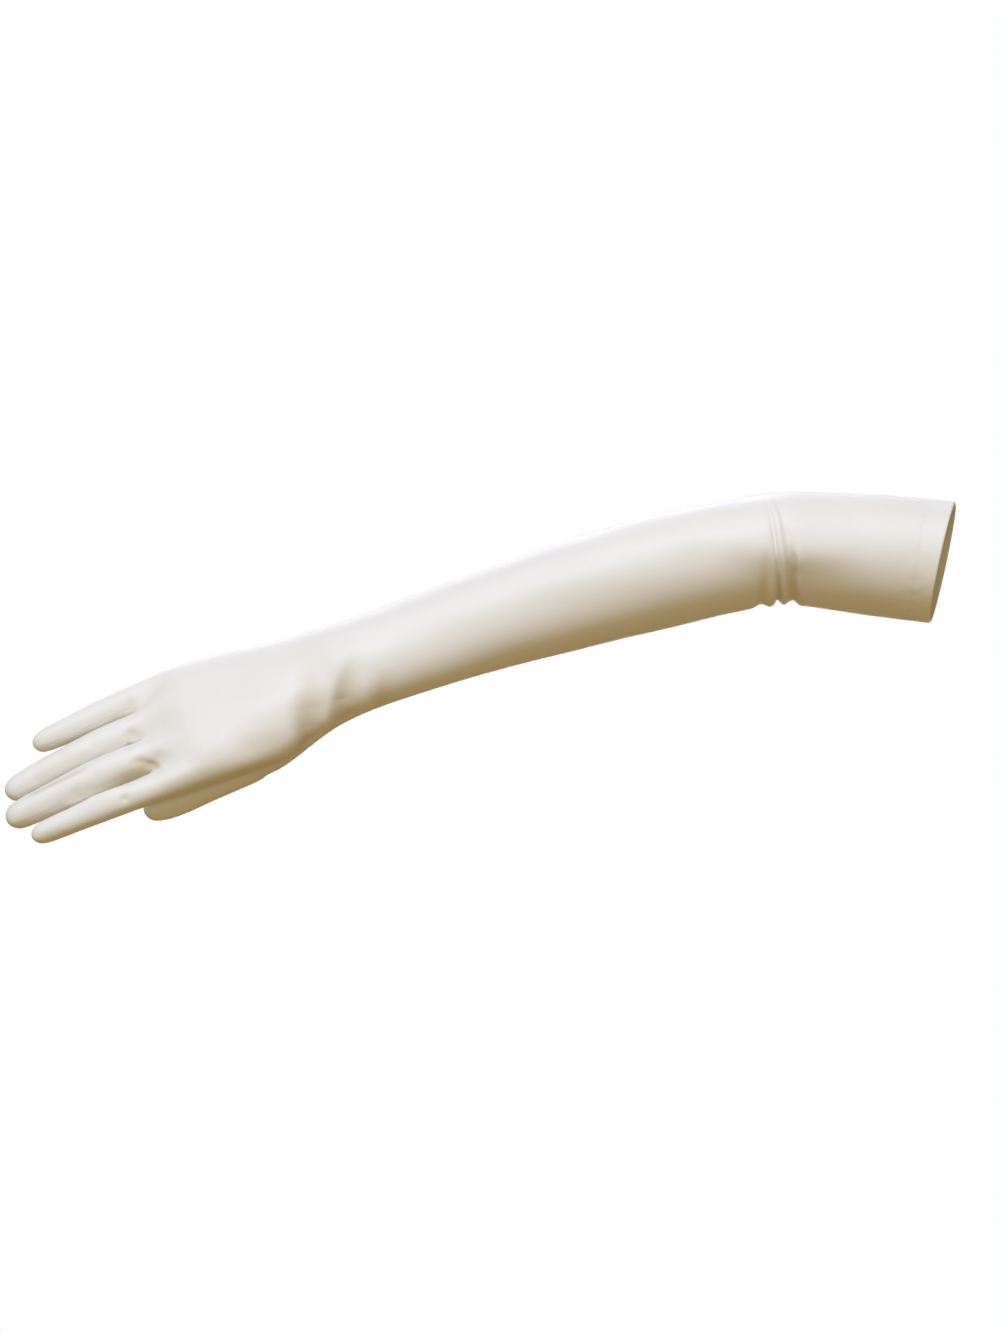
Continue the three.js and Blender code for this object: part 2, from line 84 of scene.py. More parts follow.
# Sleeve sections from the cuff to the wrist: middle, height seen from the side, depth as a
# share of breadth, and roll, by which the seams wind round the sleeve.
SleeveSection = namedtuple("SleeveSection", "x z height flat roll")
SLEEVE_SECTIONS = (
    SleeveSection(0, 0, 66.2, 1, 3),
    SleeveSection(-10.5, 1.2, 66.2, 1, 3),
    SleeveSection(-38, 4.2, 65.8, 1, 3),
    SleeveSection(-66, 6.9, 62.4, 1, 3),
    SleeveSection(-75.5, 7.6, 61.2, 1, 3),
    SleeveSection(-81.5, 8.1, 60.4, 1, 3),
    SleeveSection(-87.5, 8.1, 59.9, 1, 3),
    SleeveSection(-94, 7.4, 59.8, 1, 3),
    SleeveSection(-142, -2, 61.9, 1, 5),
    SleeveSection(-190, -15, 60.6, 0.96, 10),
    SleeveSection(-238, -29, 54.6, 0.88, 20),
    SleeveSection(-280, -43, 52.2, 0.79, 31),
    SleeveSection(-304, -51.4, 50, 0.75, 36),
)

# Palm sections, measured from the wrist: along the hand, across it towards the little
# finger, and below its middle plane towards the palm. Square is 2 for an ellipse and more
# for a section with fuller corners.
PalmSection = namedtuple("PalmSection", "along across below breadth depth square")
PALM_SECTIONS = (
    PalmSection(2, 0.6, 0, 57, 42, 2),
    PalmSection(16, 0.6, 0, 60, 38.5, 2.1),
    PalmSection(33, 0, 0.5, 70, 36, 2.2),
    PalmSection(52, 1.6, 0.5, 76.4, 32.5, 2.4),
    PalmSection(72, 4.2, 0, 79.9, 29, 2.6),
    PalmSection(93, 6.4, 0, 80, 26.5, 2.6),
)

# Fingers: place of the root, length to the tip, sideways splay, curl at root and tip,
# radius at root and tip, and the twist of the seams about the finger.
Finger = namedtuple(
    "Finger", "along across below length splay curl_root curl_tip root_radius tip_radius twist"
)
FINGERS = (
    Finger(114, -23.8, 0, 78, 4.3, 0, 8, 8, 6.9, 14),
    Finger(117, -1.2, 0.2, 85.6, 1.3, 1, 9, 10.1, 8.7, 24),
    Finger(116, 18.7, -0.3, 82, -0.8, 1, 9, 9.5, 8, 22),
    Finger(112, 37.9, 0.2, 62.4, 2.1, 1, 9, 8.2, 6.5, 20),
)

# The ring of the hand where the fingers begin. Back is how far a point stands back from the
# finger's root, and out is how far it lies below the middle plane, in finger radii.
RootPoint = namedtuple("RootPoint", "back out")
ROOT_BACK = RootPoint(3, -1.02)
ROOT_PALM = RootPoint(1, 1)
ROOT_EDGE = RootPoint(3, 0)
ROOT_EDGE_BACK = RootPoint(3, -0.72)
ROOT_EDGE_PALM = RootPoint(2, 0.72)
WEB_BACK = RootPoint(5, -0.22)
WEB_PALM = RootPoint(3, 0.78)
WEB_BELOW = 2.5

# Rings of a finger: share of its length, and share of the radius there
FingerRing = namedtuple("FingerRing", "share width")
FINGER_RINGS = (
    FingerRing(0.12, 1),
    FingerRing(0.3, 0.99),
    FingerRing(0.47, 0.99),
    FingerRing(0.68, 0.93),
    FingerRing(0.85, 0.9),
    FingerRing(0.955, 0.73),
)
FINGERTIP_REACH = 1.5
TWIST_SHARE = 0.3

# Angles of a finger's eight points in degrees, where a fourchette takes FOURCHETTE_ANGLE each
# way from the line to the next finger or to the one before
FOURCHETTE_ANGLE = 40
TO_NEXT, TO_BACK, TO_LAST, TO_PALM = 0, 90, 180, -90
FINGER_ANGLES = (
    TO_LAST - FOURCHETTE_ANGLE,
    TO_BACK,
    TO_NEXT + FOURCHETTE_ANGLE,
    TO_NEXT,
    TO_NEXT - FOURCHETTE_ANGLE,
    TO_PALM,
    FOURCHETTE_ANGLE - TO_LAST,
    TO_LAST,
)

# Faces round a finger: those of the fourchettes towards the next finger and the one before,
# and those of the half under the palm
FACES_TO_NEXT = (2, 3)
FACES_TO_LAST = (6, 7)
PALM_FACES = (3, 4, 5, 6)

# First points of the four faces that close a fingertip
TIP_FACES = (1, 7, 3, 5)

# Thumb rings in the palm's directions. Lean tips a ring back towards the palm.
ThumbRing = namedtuple("ThumbRing", "along across below radius lean")
THUMB_RINGS = (
    ThumbRing(62, -24, 18.6, 11.4, 66),
    ThumbRing(80, -18, 23.2, 9.9, 34),
    ThumbRing(96, -16.8, 24, 9.4, 10),
    ThumbRing(109, -17, 24, 9.6, -2),
    ThumbRing(120, -17.6, 23.4, 8.8, -4),
    ThumbRing(128, -18, 22.8, 6.4, -4),
)
THUMB_TIP = (133, -18.4, 22.4)

# Direction from the thumb to the middle of the palm, and the point of a thumb ring that lies a
# quarter turn from it, at the outer edge
THUMB_INNER = np.array([0, 0.55, -0.83])
THUMB_EDGE_POINT = 1
QUARTER_TURN = 90

# Points of a thumb ring in the middle of its near half, which is seen from the side that the
# back of the hand faces, and of its far half
THUMB_NEAR_POINT = 2
THUMB_FAR_POINT = 7
HALF_THUMB = THUMB_POINTS // 2

# The thumb's hole in the palm: its first row and column of faces, and how many it takes
THUMB_ROW = len(SLEEVE_SECTIONS) + 2
THUMB_COLUMN = 16
THUMB_HOLE_ROWS = 2
THUMB_HOLE_COLUMNS = 3

# Smoothing steps of the outer skin. The inner skin has one fewer.
SMOOTH_STEPS = 4

# Steps round the cuff's turned edge
EDGE_STEPS = 4

# Each stitch: steps along it, sides round it and how far it turns askew
STITCH_STEPS = 5
STITCH_SIDES = 5
STITCH_WANDER = 0.12

# How high a stitch's middle rises and how low its ends sink, in radii of the thread
HEM_RISE = 1.8
SEAM_RISE = 1.6
STITCH_SINK = 2

# Painted shade: share of the colour left in the depth of a fold, painted a little darker and warmer to
# stand for the shade there
PAINTED_SHADE_TINT = (0.72, 0.64, 0.46)

# The satin: where a float begins beside its neighbour, as a share of its length, the gap
# between floats, as a share of a thread, and how far the roughness varies
FLOAT_OFFSET = 0.4
FLOAT_GAP = 0.16
GLOSS_RANGE = 0.05

# Relief of the weave, of its slubs and of the sewing thread's twist, in metres
WEAVE_RELIEF = 0.00006
SLUB_RELIEF = 0.00012
THREAD_RELIEF = 0.00003

# Stage: middle of the view, where the lights come from, and in metres how far off they stand
# and how far the camera sees
VIEW_CENTRE = (-238.6, 0, -56.2)
KEY_FROM = (-0.18, -0.63, 0.75)
BACK_FROM = (-0.1, 0.82, 0.57)
FILL_FROM = (-0.05, -1, 0)
REAR_FROM = (0.1, 1, -0.1)
LAMP_DISTANCE = 3
FARTHEST_SEEN = 60
FLOOR_SIDES = 96
SENSOR_HEIGHT = 36

UP = np.array([0.0, 0.0, 1.0])
AWAY = np.array([0.0, 1.0, 0.0])


def unit(vector):
    """The same direction with length 1"""
    return vector / np.linalg.norm(vector, axis=-1, keepdims=True)


def ring_gain(points):
    """How much wider a coarse ring is drawn, because smoothing shrinks it"""
    return 3 / (2 + cos(2 * pi / points))


def limb_axes(slope, roll_angle):
    """Along a length of sleeve or hand, across it towards the little finger, and out of its back"""
    along = np.array([-cos(radians(slope)), 0, -sin(radians(slope))])
    above = unit(np.cross(along, AWAY))
    if above @ UP < 0:
        above = -above
    roll = radians(roll_angle)
    across = above * cos(roll) + AWAY * sin(roll)
    back = above * sin(roll) - AWAY * cos(roll)
    return along, across, back


HAND = limb_axes(HAND_SLOPE, HAND_ROLL)


def hand_point(along, across, below):
    """A place given in the hand's own directions"""
    return WRIST + along * HAND[0] + across * HAND[1] - below * HAND[2]


# What a point of the cage holds: its place, then its place on the cloth, which is how far
# along, how far across the back and the palm from their middle lines, and whether the cloth
# runs on there uncut, as it does down the index-finger side
PLACE = slice(0, 3)
ALONG, BACK_ACROSS, PALM_ACROSS, UNCUT = range(3, 7)


class Cage:
    """The coarse form of the glove"""

    def __init__(self):
        self.points = []
        self.faces = []
        self.panels = []
        self.under = []

    def add_point(self, place, along, back_across, palm_across, uncut=0):
        self.points.append([*place, along, back_across, palm_across, uncut])
        return len(self.points) - 1

    def add_face(self, corners, panel, under):
        self.faces.append(corners)
        self.panels.append(panel)
        self.under.append(under)

    def across(self, index):
        return self.points[index][BACK_ACROSS:UNCUT]


def section_points(middle, axes, breadth, depth, square):
    """One section of the sleeve or palm, as a ring of rounded points"""
    _, across, back = axes
    angles = pi * (1 - np.arange(AROUND) / HALF)
    power = 2 / square
    sideways = np.sign(np.cos(angles)) * np.abs(np.cos(angles)) ** power
    outward = np.sign(np.sin(angles)) * np.abs(np.sin(angles)) ** power
    gain = ring_gain(AROUND) / 2
    sideways = np.outer(sideways * breadth * gain, across)
    outward = np.outer(outward * depth * gain, back)
    return middle + sideways + outward


def sleeve_slope(index):
    """The slope of the sleeve at a section, from its neighbours"""
    if index == 0:
        return CUFF_SLOPE
    before = SLEEVE_SECTIONS[index - 1]
    last = index + 1 == len(SLEEVE_SECTIONS)
    after_x, after_z = (WRIST[0], WRIST[2]) if last else SLEEVE_SECTIONS[index + 1][:2]
    return np.degrees(atan2(before.z - after_z, before.x - after_x))


def sleeve_ring(index):
    section = SLEEVE_SECTIONS[index]
    roll = radians(section.roll)
    breadth = section.height / hypot(cos(roll), section.flat * sin(roll))
    middle = np.array([section.x, 0, section.z])
    axes = limb_axes(sleeve_slope(index), section.roll)
    points = section_points(middle, axes, breadth, breadth * section.flat, 2)
    slant = CUFF_ROWS[index] if index < len(CUFF_ROWS) else 0
    points[:, 0] += slant * points[:, 2] * tan(radians(CUFF_LEAN))
    points[:, 0] += slant * points[:, 1] * tan(radians(CUFF_TURN))
    return points


def palm_ring(section):
    middle = hand_point(section.along, section.across, section.below)
    return section_points(middle, HAND, section.breadth, section.depth, section.square)


def back_column(finger, step=0):
    """The ring's point over the middle of a finger's back, or some steps past it"""
    return 2 + 2 * finger + step


def palm_column(finger, step=0):
    """The ring's point under the one that back_column gives"""
    return AROUND - back_column(finger, step)


def finger_root_places():
    """The ring where the fingers begin, and one point of the web inside it for each gap"""
    gain = ring_gain(FINGER_POINTS)
    ring = np.zeros((AROUND, 3))

    def place(index, along, across, below, radius, kind):
        ring[index] = hand_point(along - kind.back, across, below + kind.out * radius)

    for k, finger in enumerate(FINGERS):
        radius = finger.root_radius * gain
        place(back_column(k), finger.along, finger.across, finger.below, radius, ROOT_BACK)
        place(palm_column(k), finger.along, finger.across, finger.below, radius, ROOT_PALM)
    webs = []
    for k, (one, other) in enumerate(zip(FINGERS, FINGERS[1:])):
        along, across, below = ((one[c] + other[c]) / 2 for c in range(3))
        radius = (one.root_radius + other.root_radius) / 2 * gain
        place(back_column(k, 1), along, across, below, radius, WEB_BACK)
        place(palm_column(k, 1), along, across, below, radius, WEB_PALM)
        webs.append(hand_point(along, across, below + WEB_BELOW))
    kinds = (ROOT_EDGE_BACK, ROOT_EDGE, ROOT_EDGE_PALM)
    shares = (-ROOT_EDGE_BACK.out, 1, ROOT_EDGE_PALM.out)
    index_side = (1, 0, AROUND - 1)
    little_side = (HALF - 1, HALF, HALF + 1)
    for finger, side, indices in ((FINGERS[0], -1, index_side), (FINGERS[-1], 1, little_side)):
        radius = finger.root_radius * gain
        for index, kind, share in zip(indices, kinds, shares):
            across = finger.across + side * share * radius
            place(index, finger.along, across, finger.below, radius, kind)
    return ring, webs


def finger_panel(k, m):
    """The panel that face number m round finger k belongs to"""
    if m in FACES_TO_NEXT and k < len(FOURCHETTES):
        return FIRST_FOURCHETTE + k
    if m in FACES_TO_LAST and k > 0:
        return FIRST_FOURCHETTE + k - 1
    return PALM if m in PALM_FACES else BACK


def cloth_across(ring):
    """How far each point of a ring lies across the back and the palm, along the cloth"""
    steps = np.linalg.norm(np.roll(ring, -1, axis=0) - ring, axis=1)
    result = []
    for middle in (QUARTER, HALF + QUARTER):
        order = (np.arange(AROUND) + middle - HALF) % AROUND
        reach = np.concatenate([[0], np.cumsum(steps[order])[:-1]])
        across = np.zeros(AROUND)
        across[order] = reach - reach[HALF]
        result.append(across)
    return np.array(result).T


def shorter_turn(angle):
    """The same angle in degrees, from -180 to 180"""
    return (angle + 180) % 360 - 180


def add_finger(cage, k, root, webs, along_start):
    """One finger, from its eight points at the root to its tip"""
    finger = FINGERS[k]
    gain = ring_gain(FINGER_POINTS)
    ring = [root[back_column(k, step)] for step in (-1, 0, 1)] + [webs[k + 1]]
    ring += [root[palm_column(k, step)] for step in (1, 0, -1)] + [webs[k]]
    back_middle = cage.across(root[back_column(k)])[0]
    palm_middle = cage.across(root[palm_column(k)])[1]
    splay = radians(finger.splay)

    def heading(share):
        curl = radians(finger.curl_root + (finger.curl_tip - finger.curl_root) * share)
        return np.array([cos(curl) * cos(splay), sin(splay), sin(curl)])

    place = np.array([finger.along, finger.across, finger.below], float)
    side = np.array([-sin(splay), cos(splay), 0])
    reached = 0
    for share, width in FINGER_RINGS:
        place = place + heading((reached + share) / 2) * finger.length * (share - reached)
        reached = share
        under = np.cross(heading(share), side)
        radius = finger.root_radius + (finger.tip_radius - finger.root_radius) * share
        radius *= width
        twist = finger.twist * min(1, share / TWIST_SHARE)
        along = along_start + finger.length * share
        following = []
        for angle in FINGER_ANGLES:
            turned = radians(angle + twist)
            corner = place + radius * gain * (side * cos(turned) - under * sin(turned))
            from_back = shorter_turn(TO_BACK - angle)
            from_palm = shorter_turn(angle - TO_PALM)
            following.append(
                cage.add_point(
                    hand_point(*corner),
                    along,
                    back_middle + radians(from_back) * radius,
                    palm_middle - radians(from_palm) * radius,
                    k == 0 and angle == TO_LAST,
                )
            )
        for m in range(FINGER_POINTS):
            n = (m + 1) % FINGER_POINTS
            corners = (ring[m], ring[n], following[n], following[m])
            cage.add_face(corners, finger_panel(k, m), m in PALM_FACES)
        ring = following
    place = place + heading((reached + 1) / 2) * finger.length * (1 - reached)
    end = place + heading(1) * FINGERTIP_REACH
    tip = cage.add_point(hand_point(*end), along_start + finger.length, back_middle, palm_middle)
    for m in TIP_FACES:
        corners = (ring[m], ring[(m + 1) % FINGER_POINTS], ring[(m + 2) % FINGER_POINTS], tip)
        under = m in PALM_FACES
        cage.add_face(corners, PALM if under else BACK, under)


def steps_from(middle, m):
    """Steps from one point of a thumb ring to another, the shorter way round"""
    return (m - middle + HALF_THUMB) % THUMB_POINTS - HALF_THUMB


def add_thumb(cage, rings, along_start):
    """The thumb, from the edge of its hole in the palm to its tip"""
    first, second, third = rings[THUMB_ROW:THUMB_ROW + THUMB_HOLE_ROWS + 1]
    c = THUMB_COLUMN
    ring = [first[c + 3], second[c + 3], third[c + 3], third[c + 2], third[c + 1]]
    ring += [third[c], second[c], first[c], first[c + 1], first[c + 2]]
    middles = np.array([row[:3] for row in THUMB_RINGS] + [THUMB_TIP], float)
    gain = ring_gain(THUMB_POINTS)
    step = 360 / THUMB_POINTS
    for k, row in enumerate(THUMB_RINGS):
        forward = unit(middles[k + 1] - middles[max(k - 1, 0)])
        inner = unit(THUMB_INNER - forward * (THUMB_INNER @ forward))
        side = np.cross(forward, inner)
        if side[1] > 0:
            side = -side
        leaning = inner * cos(radians(row.lean)) + forward * sin(radians(row.lean))
        following = []
        for m in range(THUMB_POINTS):
            angle = radians(QUARTER_TURN - (m - THUMB_EDGE_POINT) * step)
            corner = middles[k] + row.radius * gain * (leaning * cos(angle) + side * sin(angle))
            arc = radians(step) * row.radius
            near = steps_from(THUMB_NEAR_POINT, m) * arc
            far = steps_from(THUMB_FAR_POINT, m) * arc
            following.append(
                cage.add_point(hand_point(*corner), along_start + row.along, near, far)
            )
        for m in range(THUMB_POINTS):
            n = (m + 1) % THUMB_POINTS
            cage.add_face((ring[m], ring[n], following[n], following[m]), THUMB, m >= HALF_THUMB)
        ring = following
    tip = cage.add_point(hand_point(*THUMB_TIP), along_start + THUMB_TIP[0], 0, 0)
    for m in range(1, THUMB_POINTS, 2):
        corners = (ring[m - 1], ring[m], ring[(m + 1) % THUMB_POINTS], tip)
        cage.add_face(corners, THUMB, m >= HALF_THUMB)


def glove_cage():
    """The coarse form of the whole glove"""
    cage = Cage()
    places = [sleeve_ring(index) for index in range(len(SLEEVE_SECTIONS))]
    middles = [ring.mean(axis=0) for ring in places]
    alongs = [0.0]
    for before, after in zip(middles, middles[1:]):
        alongs.append(alongs[-1] + np.linalg.norm(after - before))
    wrist_along = alongs[-1] + np.linalg.norm(WRIST - middles[-1])
    places += [palm_ring(section) for section in PALM_SECTIONS]
    alongs += [wrist_along + section.along for section in PALM_SECTIONS]
    root_ring, web_places = finger_root_places()
    places.append(root_ring)
    root_along = wrist_along + FINGERS[1].along - ROOT_BACK.back
    alongs.append(root_along)
    rings = []
    for ring, along in zip(places, alongs):
        across = cloth_across(ring)
        rings.append(
            [cage.add_point(place, along, *across[i], i == 0) for i, place in enumerate(ring)]
        )
    root = rings[-1]
    webs = [root[0]]
    for k, place in enumerate(web_places):
        back_across = cage.across(root[back_column(k, 1)])[0]
        palm_across = cage.across(root[palm_column(k, 1)])[1]
        webs.append(cage.add_point(place, root_along, back_across, palm_across))
    webs.append(root[HALF])
    for row in range(len(rings) - 1):
        for i in range(AROUND):
            j = (i + 1) % AROUND
            in_rows = THUMB_ROW <= row < THUMB_ROW + THUMB_HOLE_ROWS
            if in_rows and THUMB_COLUMN <= i < THUMB_COLUMN + THUMB_HOLE_COLUMNS:
                continue
            panel = HEM if row == 0 else (BACK if i < HALF else PALM)
            corners = (rings[row][i], rings[row][j], rings[row + 1][j], rings[row + 1][i])
            cage.add_face(corners, panel, i >= HALF)
    for k in range(len(FINGERS)):
        add_finger(cage, k, root, webs, root_along)
    add_thumb(cage, rings, wrist_along)
    return cage


class Surface:
    """Points, and four-cornered faces with their panel"""

    def __init__(self, points, faces, panels, under):
        self.points = points
        self.faces = faces
        self.panels = panels
        self.under = under
        self.edges, self.face_edges = edges_of(faces)
        self.uses = np.bincount(self.face_edges.ravel(), minlength=len(self.edges))

    def sums(self, targets, values):
        """Adds up rows of values for the point that each belongs to"""
        return summed(targets, values, len(self.points))

    def means(self, targets, values):
        """The mean row of values of each point, or zero where it has none"""
        counts = np.bincount(targets, minlength=len(self.points))
        return self.sums(targets, values) / np.maximum(counts, 1)[:, None]


def summed(targets, values, count):
    columns = [np.bincount(targets, weights=column, minlength=count) for column in values.T]
    return np.stack(columns, axis=1)


def edges_of(faces):
    """Every edge once, and the number of the edge after each corner of each face"""
    pairs = np.stack([faces, np.roll(faces, -1, axis=1)], axis=2).reshape(-1, 2)
    pairs = np.sort(pairs, axis=1)
    span = faces.max() + 1
    keys, lookup = np.unique(pairs[:, 0] * span + pairs[:, 1], return_inverse=True)
    return np.stack([keys // span, keys % span], axis=1), lookup.reshape(-1, 4)


def smoothed(surface):
    """One step of Catmull-Clark smoothing, which cuts each face in four"""
    points, faces, edges = surface.points, surface.faces, surface.edges
    count = len(points)
    inner = surface.uses == 2
    centres = points[faces].mean(axis=1)
    middles = points[edges].mean(axis=1)
    beside = summed(surface.face_edges.ravel(), np.repeat(centres, 4, axis=0), len(edges))
    edge_points = middles.copy()
    edge_points[inner] = (2 * middles[inner] + beside[inner]) / 4
    valence = np.bincount(faces.ravel(), minlength=count)[:, None]
    face_mean = surface.means(faces.ravel(), np.repeat(centres, 4, axis=0))
    edge_mean = surface.means(edges.ravel(), np.repeat(middles, 2, axis=0))
    moved = (face_mean + 2 * edge_mean + (valence - 3) * points) / np.maximum(valence, 1)
    rim = edges[~inner].ravel()
    on_rim = np.unique(rim)
    rim_mean = surface.means(rim, np.repeat(middles[~inner], 2, axis=0))
    moved[on_rim] = (points[on_rim] + rim_mean[on_rim]) / 2
    edge_ids = count + surface.face_edges
    centre_ids = count + len(edges) + np.arange(len(faces))
    quads = [
        np.stack([faces[:, m], edge_ids[:, m], centre_ids, edge_ids[:, m - 1]], axis=1)
        for m in range(4)
    ]
    return Surface(
        np.concatenate([moved, edge_points, centres]),
        np.stack(quads, axis=1).reshape(-1, 4),
        np.repeat(surface.panels, 4),
        np.repeat(surface.under, 4),
    )


def settled(surface):
    """Every point's place after endless smoothing"""
    points, faces, edges = surface.points, surface.faces, surface.edges
    valence = np.bincount(faces.ravel(), minlength=len(points))[:, None]
    across = surface.means(faces.ravel(), points[np.roll(faces, -2, axis=1).ravel()])
    beside = surface.means(edges.ravel(), points[edges[:, ::-1].ravel()])
    result = (points * valence + 4 * beside + across) / (valence + 5)
    rim = edges[surface.uses == 1]
    rim_mean = surface.means(rim.ravel(), points[rim[:, ::-1].ravel()])
    on_rim = np.unique(rim)
    result[on_rim] = (2 * points[on_rim] + rim_mean[on_rim]) / 3
    return result


def point_normals(places, faces):
    """Outward normals, from the faces round each point"""
    corners = places[faces]
    normals = np.cross(corners[:, 2] - corners[:, 0], corners[:, 3] - corners[:, 1])
    return unit(summed(faces.ravel(), np.repeat(normals, 4, axis=0), len(places)))


# Folds of the worn cloth, seen from the side that the back of the hand faces. Each is a line
# of points, given column by column, where one width can hold for all of them. A fold is a
# valley, or a crest where its depth is negative.
Fold = namedtuple("Fold", "x z depth width")

# Folds that run on round the sleeve
ROUND_FOLDS = (
    # Crease on the hand side of the elbow
    Fold(
        x=(-96.5, -94.6, -92.7, -91.7, -90.7, -89.2, -88.3, -87.9),
        z=(36.1, 29.4, 19.6, 11.5, 3.5, -5.6, -15.1, -26.8),
        depth=(0.5, 0.8, 1.1, 1.5, 1.2, 1.3, 2.2, 2.6),
        width=(1.2, 1.1, 1, 1, 1.1, 1.1, 1.3, 1.6),
    ),
    # Crest between the two elbow creases
    Fold(
        x=(-93.4, -89.7, -88.3, -86.4, -85.4, -85.1, -84.6),
        z=(35, 22.3, 10.4, -0.3, -9.9, -19.4, -27.9),
        depth=(-0.3, -0.4, -0.5, -0.7, -0.8, -1, -1),
        width=(1.8, 1.8, 1.7, 1.7, 1.8, 1.9, 1.9),
    ),
    # Crease on the cuff side of the elbow
    Fold(
        x=(-91.7, -88, -85.8, -84.5, -82.6, -81.2, -80.8, -79.8),
        z=(36.1, 26.6, 16.9, 8.8, 1.9, -6.7, -16.2, -26.8),
        depth=(0.3, 0.5, 0.7, 1, 2, 2.9, 2.7, 1.7),
        width=(1.8, 1.9, 2, 2.2, 2.6, 2.7, 2.8, 3),
    ),
    # Crest on the cuff side of both creases
    Fold(
        x=(-79.7, -78.1, -77.4, -76),
        z=(8.8, 0.8, -8.8, -22.6),
        depth=(0, -0.7, -0.8, -0.4),
        width=(1.5, 1.6, 1.7, 1.9),
    ),
    # Short crease further down the sleeve
    Fold(
        x=(-96.3, -96.3, -96.1, -96.7, -97.9),
        z=(8.8, 0.8, -9.9, -20.5, -27.9),
        depth=(0, 0.8, 1, 1.3, 1.8),
        width=(2, 2, 2.2, 2.6, 3.4),
    ),
    # Hollow where the thumb begins
    Fold(
        x=(-380.2, -372.1, -363.7, -355, -348.5),
        z=(-112.3, -114.9, -115.2, -112.5, -109.2),
        depth=(0, 0.5, 0.7, 0.4, 0),
        width=1.8,
    ),
    # Crest between the short crease and the first one
    Fold(
        x=(-92.5, -92.2, -91.9, -92.8, -92.5),
        z=(2.9, -4.5, -14.1, -21.5, -27.9),
        depth=(0, -0.4, -0.5, -0.9, -1.2),
        width=(1.4, 1.4, 1.5, 2.2, 2.4),
    ),
)

# Folds that show on both sides of the wrist
WRIST_FOLDS = (
    # Fold on the sleeve side of the wrist
    Fold(
        x=(-318.8, -320.6, -321.5, -320.7, -319.1, -317.1),
        z=(-90.4, -82.8, -74.2, -65.6, -57, -46.3),
        depth=(1, 2.1, 2.9, 2.1, 0.9, 0),
        width=(6.4, 6.6, 6.4, 5.8, 5, 4.5),
    ),
    # Crest between the two wrist folds
    Fold(
        x=(-332, -330.3, -327.7, -324.5),
        z=(-86, -76.3, -66.7, -54.9),
        depth=(-0.4, -0.4, -0.4, 0),
        width=3,
    ),
    # Fold on the hand side of the wrist
    Fold(
        x=(-340.2, -341, -341.6, -343.3, -346.1),
        z=(-97.8, -89.2, -78.5, -68.8, -58.1),
        depth=(2.4, 3.1, 2.8, 1.3, 0),
        width=(7, 7.4, 7.2, 6.2, 5),
    ),
    # Crest above the wrist
    Fold(
        x=(-310.1, -310, -311.1),
        z=(-76.4, -67.7, -57),
        depth=(-0.25, -0.3, 0),
        width=(2.6, 2.6, 2.4),
    ),
    # Shallow fold further up the sleeve
    Fold(
        x=(-301.1, -300.9, -300.3),
        z=(-77.5, -67.8, -57),
        depth=(1.2, 0.8, 0),
        width=(4.6, 4.6, 4.2),
    ),
)

# Folds that show on the back of the hand and on the near side of the elbow
NEAR_FOLDS = (
    # Crown on the back of the hand
    Fold(
        x=(-329.8, -346, -366.5, -389.2, -408.5, -422.3),
        z=(-61.3, -68.8, -76.4, -81.8, -82.9, -86.2),
        depth=(0, -1.6, -3, -2.9, -1.8, 0),
        width=(14, 15, 17, 17, 14, 10),
    ),
    # Dip of the web between the index and middle finger
    Fold(
        x=(-438.1, -431.6, -426.1, -422.4),
        z=(-107.7, -107.7, -109.5, -111.3),
        depth=(0, 1.5, 1.6, 0.4),
        width=(2, 2.4, 2.5, 2.2),
    ),
    # Dip along the knuckles
    Fold(
        x=(-428.2, -428.8, -428.6, -426.1),
        z=(-76, -85.2, -94.8, -100.1),
        depth=(0, 0.3, 0.3, 0),
        width=4,
    ),
    # Crest on the index finger, beside the middle one
    Fold(
        x=(-438.5, -443.9, -450.9, -459.1, -467.3, -474.4, -481),
        z=(-117.7, -120.4, -123.7, -127.2, -129.9, -132.4, -135.1),
        depth=(0, -0.8, -1.4, -1.5, -1, -0.5, 0),
        width=(2.4, 2.8, 3, 3, 3, 2.6, 2.4),
    ),
    # Crest on the ring finger, beside the little one
    Fold(
        x=(-445.6, -452.7, -461, -469.2, -478.1, -484.7),
        z=(-84.4, -87.2, -90.7, -94.2, -97.8, -100.6),
        depth=(0, -0.4, -0.5, -0.5, -0.4, 0),
        width=(2, 2.4, 2.4, 2.4, 2.4, 2),
    ),
    # Crown over the thumb, which ends in a shallow valley
    Fold(
        x=(-421.3, -410.5, -396.9, -387.7, -380.1, -371.5, -360.8, -350.1),
        z=(-111.3, -107.5, -103.1, -100.4, -99.4, -99.3, -96.1, -90.8),
        depth=(0, -1, -1.3, -0.6, 0.4, 1, 1, 0),
        width=8,
    ),
    # Crown over the elbow
    Fold(
        x=(-126.8, -108.7, -95.2, -77.1, -62.1, -45.1),
        z=(8.5, 7.4, 5.1, 5, 5, 6.1),
        depth=(0, -1.6, -2.8, -2.8, -1.6, 0),
        width=9.5,
    ),
    # Second crown, higher over the elbow
    Fold(
        x=(-123.4, -106.8, -94.1, -78, -64.1, -48.6),
        z=(20.7, 20.9, 19, 19, 19, 20.1),
        depth=(0, -0.8, -1.6, -1.6, -0.8, 0),
        width=10,
    ),
)
